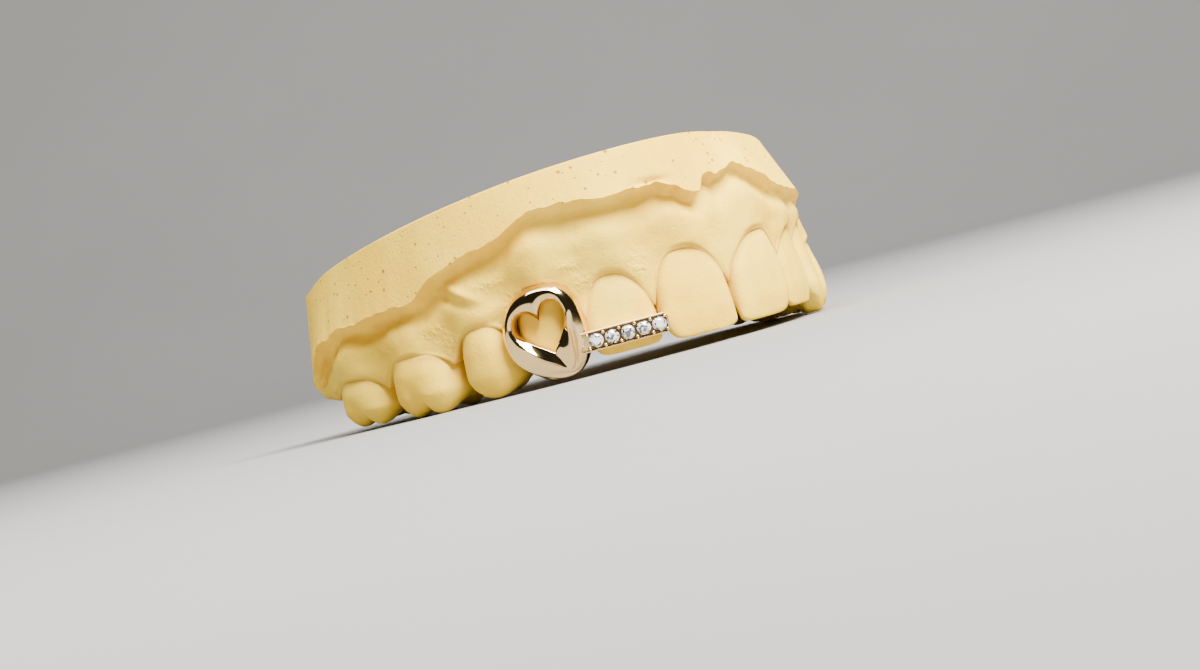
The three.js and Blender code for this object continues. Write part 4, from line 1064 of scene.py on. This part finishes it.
def brilliant(name, centre, turn, seed):
    """Rings of corners, each at its angles, radius and height: table, star tips, girdle top and bottom, lower
    halves, and the culet. Each facet keeps a painted reflection of its own, a random tone that stands for the
    part of the room that a cut stone's facet throws back."""
    r = STONE_DIAMETER / 2
    crown, girdle, pavilion = [
        share * STONE_DIAMETER for share in (CROWN_SHARE, GIRDLE_SHARE, PAVILION_SHARE)
    ]
    eight, sixteen = np.arange(8) * np.pi / 4 + turn, np.arange(16) * np.pi / 8 + turn
    rings = [
        (eight + np.pi / 8, TABLE_SHARE * r, girdle + crown),
        (eight, STAR_SHARE * r, girdle + crown * 0.56),
        (sixteen, r, girdle),
        (sixteen, r, 0.0),
        (eight, LOWER_SHARE * r, -pavilion * 0.78),
    ]
    local = [np.stack([d * np.cos(a), d * np.sin(a), np.full(len(a), h)], -1) for a, d, h in rings]
    local = np.concatenate(local + [np.array([[0, 0, -pavilion]])])
    table, star, top, base, low, culet = 0, 8, 16, 32, 48, 56  # each ring's first number
    i = np.arange(8)
    j, k = (i + 1) % 8, (i - 1) % 8
    two, after, before = 2 * i, (2 * i + 1) % 16, (2 * i - 1) % 16
    faces = [list(range(8))]
    faces += np.stack([table + k, star + i, table + i], -1).tolist()
    faces += np.stack([table + i, star + i, top + after, star + j], -1).tolist()
    faces += np.stack([star + i, top + two, top + after], -1).tolist()
    faces += np.stack([star + i, top + before, top + two], -1).tolist()
    here = np.arange(16)
    there = (here + 1) % 16
    faces += np.stack([top + here, base + here, base + there, top + there], -1).tolist()
    faces += np.stack([base + two, low + i, base + after], -1).tolist()
    faces += np.stack([base + before, low + i, base + two], -1).tolist()
    faces += np.stack([base + after, low + i, culet + 0 * i, low + j], -1).tolist()
    along, up, out = local.T
    stone = make_piece(name, bar_point(along + centre, up + BAR_HEIGHT / 2, out + FLOOR - girdle), faces)
    # Painted reflection: a random tone for each facet.
    values = np.random.default_rng(seed).random(len(stone.data.polygons))
    facet_reflection = stone.data.attributes.new("facet_reflection", "FLOAT", "FACE")
    facet_reflection.data.foreach_set("value", values.astype(np.float32))
    return stone


STONE_TURN = 0.35  # radians that each stone is turned against the one before it
stones = [brilliant(f"round_brilliant_{n + 1}", s, STONE_TURN * n, n) for n, s in enumerate(STONES)]
print("stones:", len(stones), "of", triangle_count(stones[0]), "triangles")

# %% [markdown]
# Materials. Set stone is matt and porous: its pits come in two sizes, which are one effect with
# other values, so it is a node group that gives a mask. Polished gold is a mirror, and a cut
# stone is glass. Small helpers make the nodes that all of them use, and the shaders stay in the
# materials.

# %% Node helpers


def new_material(name):
    """A material with its Principled shader and the object's own coordinates."""
    material = bpy.data.materials.new(name)
    material.use_nodes = True
    nodes, links = material.node_tree.nodes, material.node_tree.links
    place = nodes.new("ShaderNodeTexCoord").outputs["Object"]
    return material, nodes, links, nodes["Principled BSDF"], place


def math_node(nodes, links, kind, first, second, clamp=False):
    """One operation on two sockets or numbers."""
    node = nodes.new("ShaderNodeMath")
    node.operation, node.use_clamp = kind, clamp
    for socket, value in zip(node.inputs, (first, second)):
        if isinstance(value, (int, float)):
            socket.default_value = value
        else:
            links.new(value, socket)
    return node.outputs[0]


def mix_colour(nodes, links, mask, below, above):
    """The colour below where the mask is 0, and the one above where it is 1."""
    node = nodes.new("ShaderNodeMix")
    node.data_type = "RGBA"
    for socket, value in zip((node.inputs[0], node.inputs[6], node.inputs[7]), (mask, below, above)):
        if isinstance(value, tuple):
            socket.default_value = (*value, 1.0)
        else:
            links.new(value, socket)
    return node.outputs[2]


def noise_node(nodes, links, place, size_mm, detail=3.0, stretch=None):
    """Noise whose largest bumps are size_mm wide, drawn out along an axis by stretch."""
    if stretch:
        mapping = nodes.new("ShaderNodeMapping")
        mapping.inputs["Scale"].default_value = stretch
        links.new(place, mapping.inputs["Vector"])
        place = mapping.outputs["Vector"]
    node = nodes.new("ShaderNodeTexNoise")
    node.inputs["Scale"].default_value = 1.0 / (size_mm * MM)
    node.inputs["Detail"].default_value = detail
    links.new(place, node.inputs["Vector"])
    return node.outputs["Fac"]


def band(nodes, links, value, low, high):
    """0 at low and 1 at high, kept between."""
    node = nodes.new("ShaderNodeMapRange")
    node.inputs["From Min"].default_value, node.inputs["From Max"].default_value = low, high
    node.interpolation_type = "SMOOTHSTEP"
    links.new(value, node.inputs["Value"])
    return node.outputs["Result"]


def bump_from(nodes, links, shader, height, distance_mm, strength=1.0):
    """A height that bends the shader's normal."""
    node = nodes.new("ShaderNodeBump")
    node.inputs["Strength"].default_value = strength
    node.inputs["Distance"].default_value = distance_mm * MM
    links.new(height, node.inputs["Height"])
    links.new(node.outputs["Normal"], shader.inputs["Normal"])


# %% Pits group


def pits_group():
    """Small round pits: each cell of a lattice holds one, and a noise decides which are there."""
    group = bpy.data.node_groups.new("pits", "ShaderNodeTree")
    face = group.interface
    face.new_socket("Vector", in_out="INPUT", socket_type="NodeSocketVector")
    for name, value in (("Cells", 700.0), ("Radius", 0.12), ("Share", 0.5)):
        face.new_socket(name, in_out="INPUT", socket_type="NodeSocketFloat").default_value = value
    face.new_socket("Mask", in_out="OUTPUT", socket_type="NodeSocketFloat")
    nodes, links = group.nodes, group.links
    given, out = nodes.new("NodeGroupInput"), nodes.new("NodeGroupOutput")
    cells = nodes.new("ShaderNodeTexVoronoi")
    links.new(given.outputs["Vector"], cells.inputs["Vector"])
    links.new(given.outputs["Cells"], cells.inputs["Scale"])
    apart = nodes.new("ShaderNodeSeparateColor")
    links.new(cells.outputs["Color"], apart.inputs["Color"])
    radius = math_node(nodes, links, "MULTIPLY", given.outputs["Radius"], apart.outputs["Green"])
    inside = math_node(nodes, links, "SUBTRACT", radius, cells.outputs["Distance"])
    soft = math_node(nodes, links, "MULTIPLY", inside, 30.0, clamp=True)
    chosen = math_node(nodes, links, "LESS_THAN", apart.outputs["Red"], given.outputs["Share"])
    links.new(math_node(nodes, links, "MULTIPLY", soft, chosen), out.inputs["Mask"])
    return group


PITS = pits_group()


def pits(nodes, links, place, cell_mm, radius, share):
    """The group, placed with its own cell size, its largest radius and its share of cells."""
    node = nodes.new("ShaderNodeGroup")
    node.node_tree = PITS
    node.inputs["Cells"].default_value = 1.0 / (cell_mm * MM)
    node.inputs["Radius"].default_value = radius
    node.inputs["Share"].default_value = share
    links.new(place, node.inputs["Vector"])
    return node.outputs["Mask"]


# %% Dental stone
BUFF, PALE_BUFF, MOTTLE = (0.92, 0.57, 0.022), (0.96, 0.66, 0.05), (0.80, 0.46, 0.04)
# The second and third colours are painted shade, for the crease at the gum's edge and for the hollows of the
# pits.
WHEEL_MARK, GUM_CREASE_SHADE, PIT_SHADE = (0.76, 0.44, 0.04), (0.55, 0.33, 0.03), (0.45, 0.18, 0.01)
CLOUD_SIZE, MOTTLE_SIZE, SKIN_SIZE, GRAIN_SIZE, MARK_SIZE = 9.0, 1.6, 0.5, 0.3, 0.25  # mm


def mask_node(nodes, name):
    """A mask or tone that was kept on the mesh."""
    node = nodes.new("ShaderNodeAttribute")
    node.attribute_name = name
    return node.outputs["Fac"]


def stone_material():
    """Buff gypsum: clouds of two tones, pits painted dark with their shade, painted shade along the gum's
    edges and between the teeth, wheel marks on the ground wall, and a rough skin in a few patches of the gum."""
    material, nodes, links, shader, place = new_material("dental_stone")
    wall, rough, edge, gum = [mask_node(nodes, name) for name in ("wall", "rough", "edge", "gum")]

    def times(first, second):
        return math_node(nodes, links, "MULTIPLY", first, second)

    clouds = band(nodes, links, noise_node(nodes, links, place, CLOUD_SIZE), 0.35, 0.68)
    mottle = band(nodes, links, noise_node(nodes, links, place, MOTTLE_SIZE, 4.0), 0.45, 0.75)
    colour = mix_colour(nodes, links, clouds, BUFF, PALE_BUFF)
    colour = mix_colour(nodes, links, times(mottle, 0.3), colour, MOTTLE)
    marks = noise_node(nodes, links, place, MARK_SIZE, 2.0, (1.0, 1.0, 0.06))
    marks_on_wall = times(band(nodes, links, marks, 0.5, 0.8), wall)
    colour = mix_colour(nodes, links, times(marks_on_wall, 0.2), colour, WHEEL_MARK)
    # Painted shade along the gum's edge, between the teeth and on the tooth behind the heart window.
    colour = mix_colour(nodes, links, times(edge, 0.6), colour, GUM_CREASE_SHADE)
    big = pits(nodes, links, place, cell_mm=1.35, radius=0.2, share=0.8)
    small = pits(nodes, links, place, cell_mm=0.75, radius=0.26, share=0.5)
    holes = math_node(nodes, links, "MAXIMUM", big, small)
    holes = times(holes, math_node(nodes, links, "ADD", times(wall, 0.9), times(gum, 0.1)))
    # Painted shade in the hollows of the pits.
    colour = mix_colour(nodes, links, times(holes, 0.95), colour, PIT_SHADE)
    links.new(colour, shader.inputs["Base Color"])
    skin = times(rough, noise_node(nodes, links, place, SKIN_SIZE))
    fine = times(noise_node(nodes, links, place, GRAIN_SIZE), 0.22)
    height = math_node(nodes, links, "ADD", fine, times(skin, 1.6))
    height = math_node(nodes, links, "ADD", height, times(times(marks, wall), 0.15))
    height = math_node(nodes, links, "SUBTRACT", height, times(holes, 0.9))
    bump_from(nodes, links, shader, height, distance_mm=0.2)
    shader.inputs["Roughness"].default_value = 0.78
    shader.inputs["Specular IOR Level"].default_value = 0.35
    return material


# %% Gold and stones
# The third colour is painted shade for the recessed floor of the bar.
GOLD, LIGHT_GOLD, CHANNEL_SHADE = (0.82, 0.58, 0.25), (0.88, 0.66, 0.33), (0.16, 0.09, 0.03)
# Painted reflections: the darkest and the brightest facet, and below them the size of the painted glints.
DARK_REFLECTION, BRIGHT_REFLECTION = (0.025, 0.022, 0.04), (1.0, 1.0, 1.0)
POLISH_SIZE, HAIR_SIZE, GLINT_SIZE = 1.2, 0.06, 0.26  # mm


def gold_material():
    """Pale polished gold: a mirror with soft clouds of roughness and hair-fine polish marks, and painted
    shade in dark brown on the bar's floor."""
    material, nodes, links, shader, place = new_material("polished_pale_gold")
    clouds = noise_node(nodes, links, place, POLISH_SIZE)
    colour = mix_colour(nodes, links, clouds, GOLD, LIGHT_GOLD)
    # Painted shade on the bar's floor.
    colour = mix_colour(nodes, links, mask_node(nodes, "channel_shade"), colour, CHANNEL_SHADE)
    links.new(colour, shader.inputs["Base Color"])
    rough = math_node(nodes, links, "MULTIPLY", clouds, 0.08)
    rough = math_node(nodes, links, "ADD", rough, 0.05)
    links.new(rough, shader.inputs["Roughness"])
    hairs = noise_node(nodes, links, place, HAIR_SIZE, 2.0, (1.0, 1.0, 0.2))
    bump_from(nodes, links, shader, hairs, distance_mm=0.002, strength=0.5)
    shader.inputs["Metallic"].default_value = 1.0
    return material


def diamond_material():
    """Clear cut stone: each facet's painted reflection, broken up into the smaller painted glints of the
    facets behind it, from lilac grey to white, over part clear glass."""
    material, nodes, links, shader, place = new_material("clear_brilliant")
    cells = nodes.new("ShaderNodeTexVoronoi")
    cells.inputs["Scale"].default_value = 1.0 / (GLINT_SIZE * MM)
    links.new(place, cells.inputs["Vector"])
    apart = nodes.new("ShaderNodeSeparateColor")
    links.new(cells.outputs["Color"], apart.inputs["Color"])
    # Painted reflections and glints: each facet's tone plus the small cells.
    both = math_node(nodes, links, "ADD", mask_node(nodes, "facet_reflection"), apart.outputs["Red"])
    facet_reflection = band(nodes, links, both, 0.75, 1.0)
    colour = mix_colour(nodes, links, facet_reflection, DARK_REFLECTION, BRIGHT_REFLECTION)
    links.new(colour, shader.inputs["Base Color"])
    shader.inputs["Roughness"].default_value = 0.02
    shader.inputs["IOR"].default_value = 2.4
    shader.inputs["Transmission Weight"].default_value = 0.3
    return material


def floor_material():
    """Plain matt paper with the faintest clouds."""
    material, nodes, links, shader, place = new_material("pale_floor")
    clouds = noise_node(nodes, links, place, 60.0)
    colour = mix_colour(nodes, links, clouds, (0.21, 0.208, 0.206), (0.23, 0.228, 0.226))
    links.new(colour, shader.inputs["Base Color"])
    shader.inputs["Roughness"].default_value = 0.8
    return material


def dress(piece, material, node):
    """Gives a piece its finish, lets it ride on the body, and hides the solid it stands for."""
    piece.data.materials.clear()
    piece.data.materials.append(material)
    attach(piece, "root")
    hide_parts(node)


dress(cast, stone_material(), "dental_cast")
dress(gold, gold_material(), "heart_cap_and_bar")
clear = diamond_material()
for n, stone in enumerate(stones):
    dress(stone, clear, f"stone_{n + 1}")

# %% [markdown]
# A plain pale floor that curves up into a plain wall, and soft lamps: a large one above and to
# the right, which is the side that the front teeth are lit from, a broad one high on the left,
# and a long one behind for the rim of the base.

# %% Floor and lights
FLOOR_FRONT, FLOOR_DEPTH, CURVE_RADIUS, WALL_TOP, FLOOR_WIDTH = 1500.0, 420.0, 220.0, 900.0, 3200.0


def build_floor():
    """A profile of floor, quarter circle and wall, carried straight along the picture's width
    and turned to face the camera."""
    bend = np.linspace(0, np.pi / 2, 25)
    curve = FLOOR_DEPTH + CURVE_RADIUS * np.sin(bend)
    depth = np.concatenate([[-FLOOR_FRONT], curve, curve[-1:]])
    level = np.concatenate([[0.0], CURVE_RADIUS * (1 - np.cos(bend)), [WALL_TOP]])
    turn = np.radians(AZIMUTH)
    away = np.array([-np.sin(turn), np.cos(turn), 0.0])
    right = np.array([np.cos(turn), np.sin(turn), 0.0])
    edges = np.array([-1.0, 1.0])[:, None, None] * right * FLOOR_WIDTH / 2
    points = edges + away * depth[None, :, None] + UP * level[None, :, None]
    faces = grid_quads(2, len(depth)).tolist()
    mesh = bpy.data.meshes.new("floor")
    mesh.from_pydata(points.reshape(-1, 3) * MM, [], [f[::-1] for f in faces])
    mesh.shade_smooth()
    floor = bpy.data.objects.new("floor", mesh)
    bpy.context.collection.objects.link(floor)
    mesh.materials.append(floor_material())
    return floor


def add_lamp(name, azimuth, elevation, distance, width, height, power, colour=(1, 1, 1)):
    """A soft box on a sphere round the object, facing it."""
    turn, rise = np.radians([azimuth, elevation])
    back = Vector((np.sin(turn) * np.cos(rise), -np.cos(turn) * np.cos(rise), np.sin(rise)))
    data = bpy.data.lights.new(name, "AREA")
    data.shape, data.size, data.size_y = "RECTANGLE", width * MM, height * MM
    data.energy, data.color = power, colour
    lamp = bpy.data.objects.new(name, data)
    lamp.location = back * distance * MM
    lamp.rotation_euler = back.to_track_quat("Z", "Y").to_euler()
    bpy.context.collection.objects.link(lamp)
    return lamp


floor = build_floor()
add_lamp("key_softbox", 5, 51, 480, 240, 240, 14.0, (1.0, 0.97, 0.92))
add_lamp("top_left_softbox", -70, 78, 480, 380, 380, 5.0, (1.0, 0.98, 0.94))
add_lamp("rim_softbox", 150, 50, 520, 260, 120, 0.5)
world = bpy.data.worlds.new("studio")
bpy.context.scene.world = world
world.use_nodes = True
world.node_tree.nodes["Background"].inputs["Color"].default_value = (0.62, 0.62, 0.63, 1)
world.node_tree.nodes["Background"].inputs["Strength"].default_value = 0.035
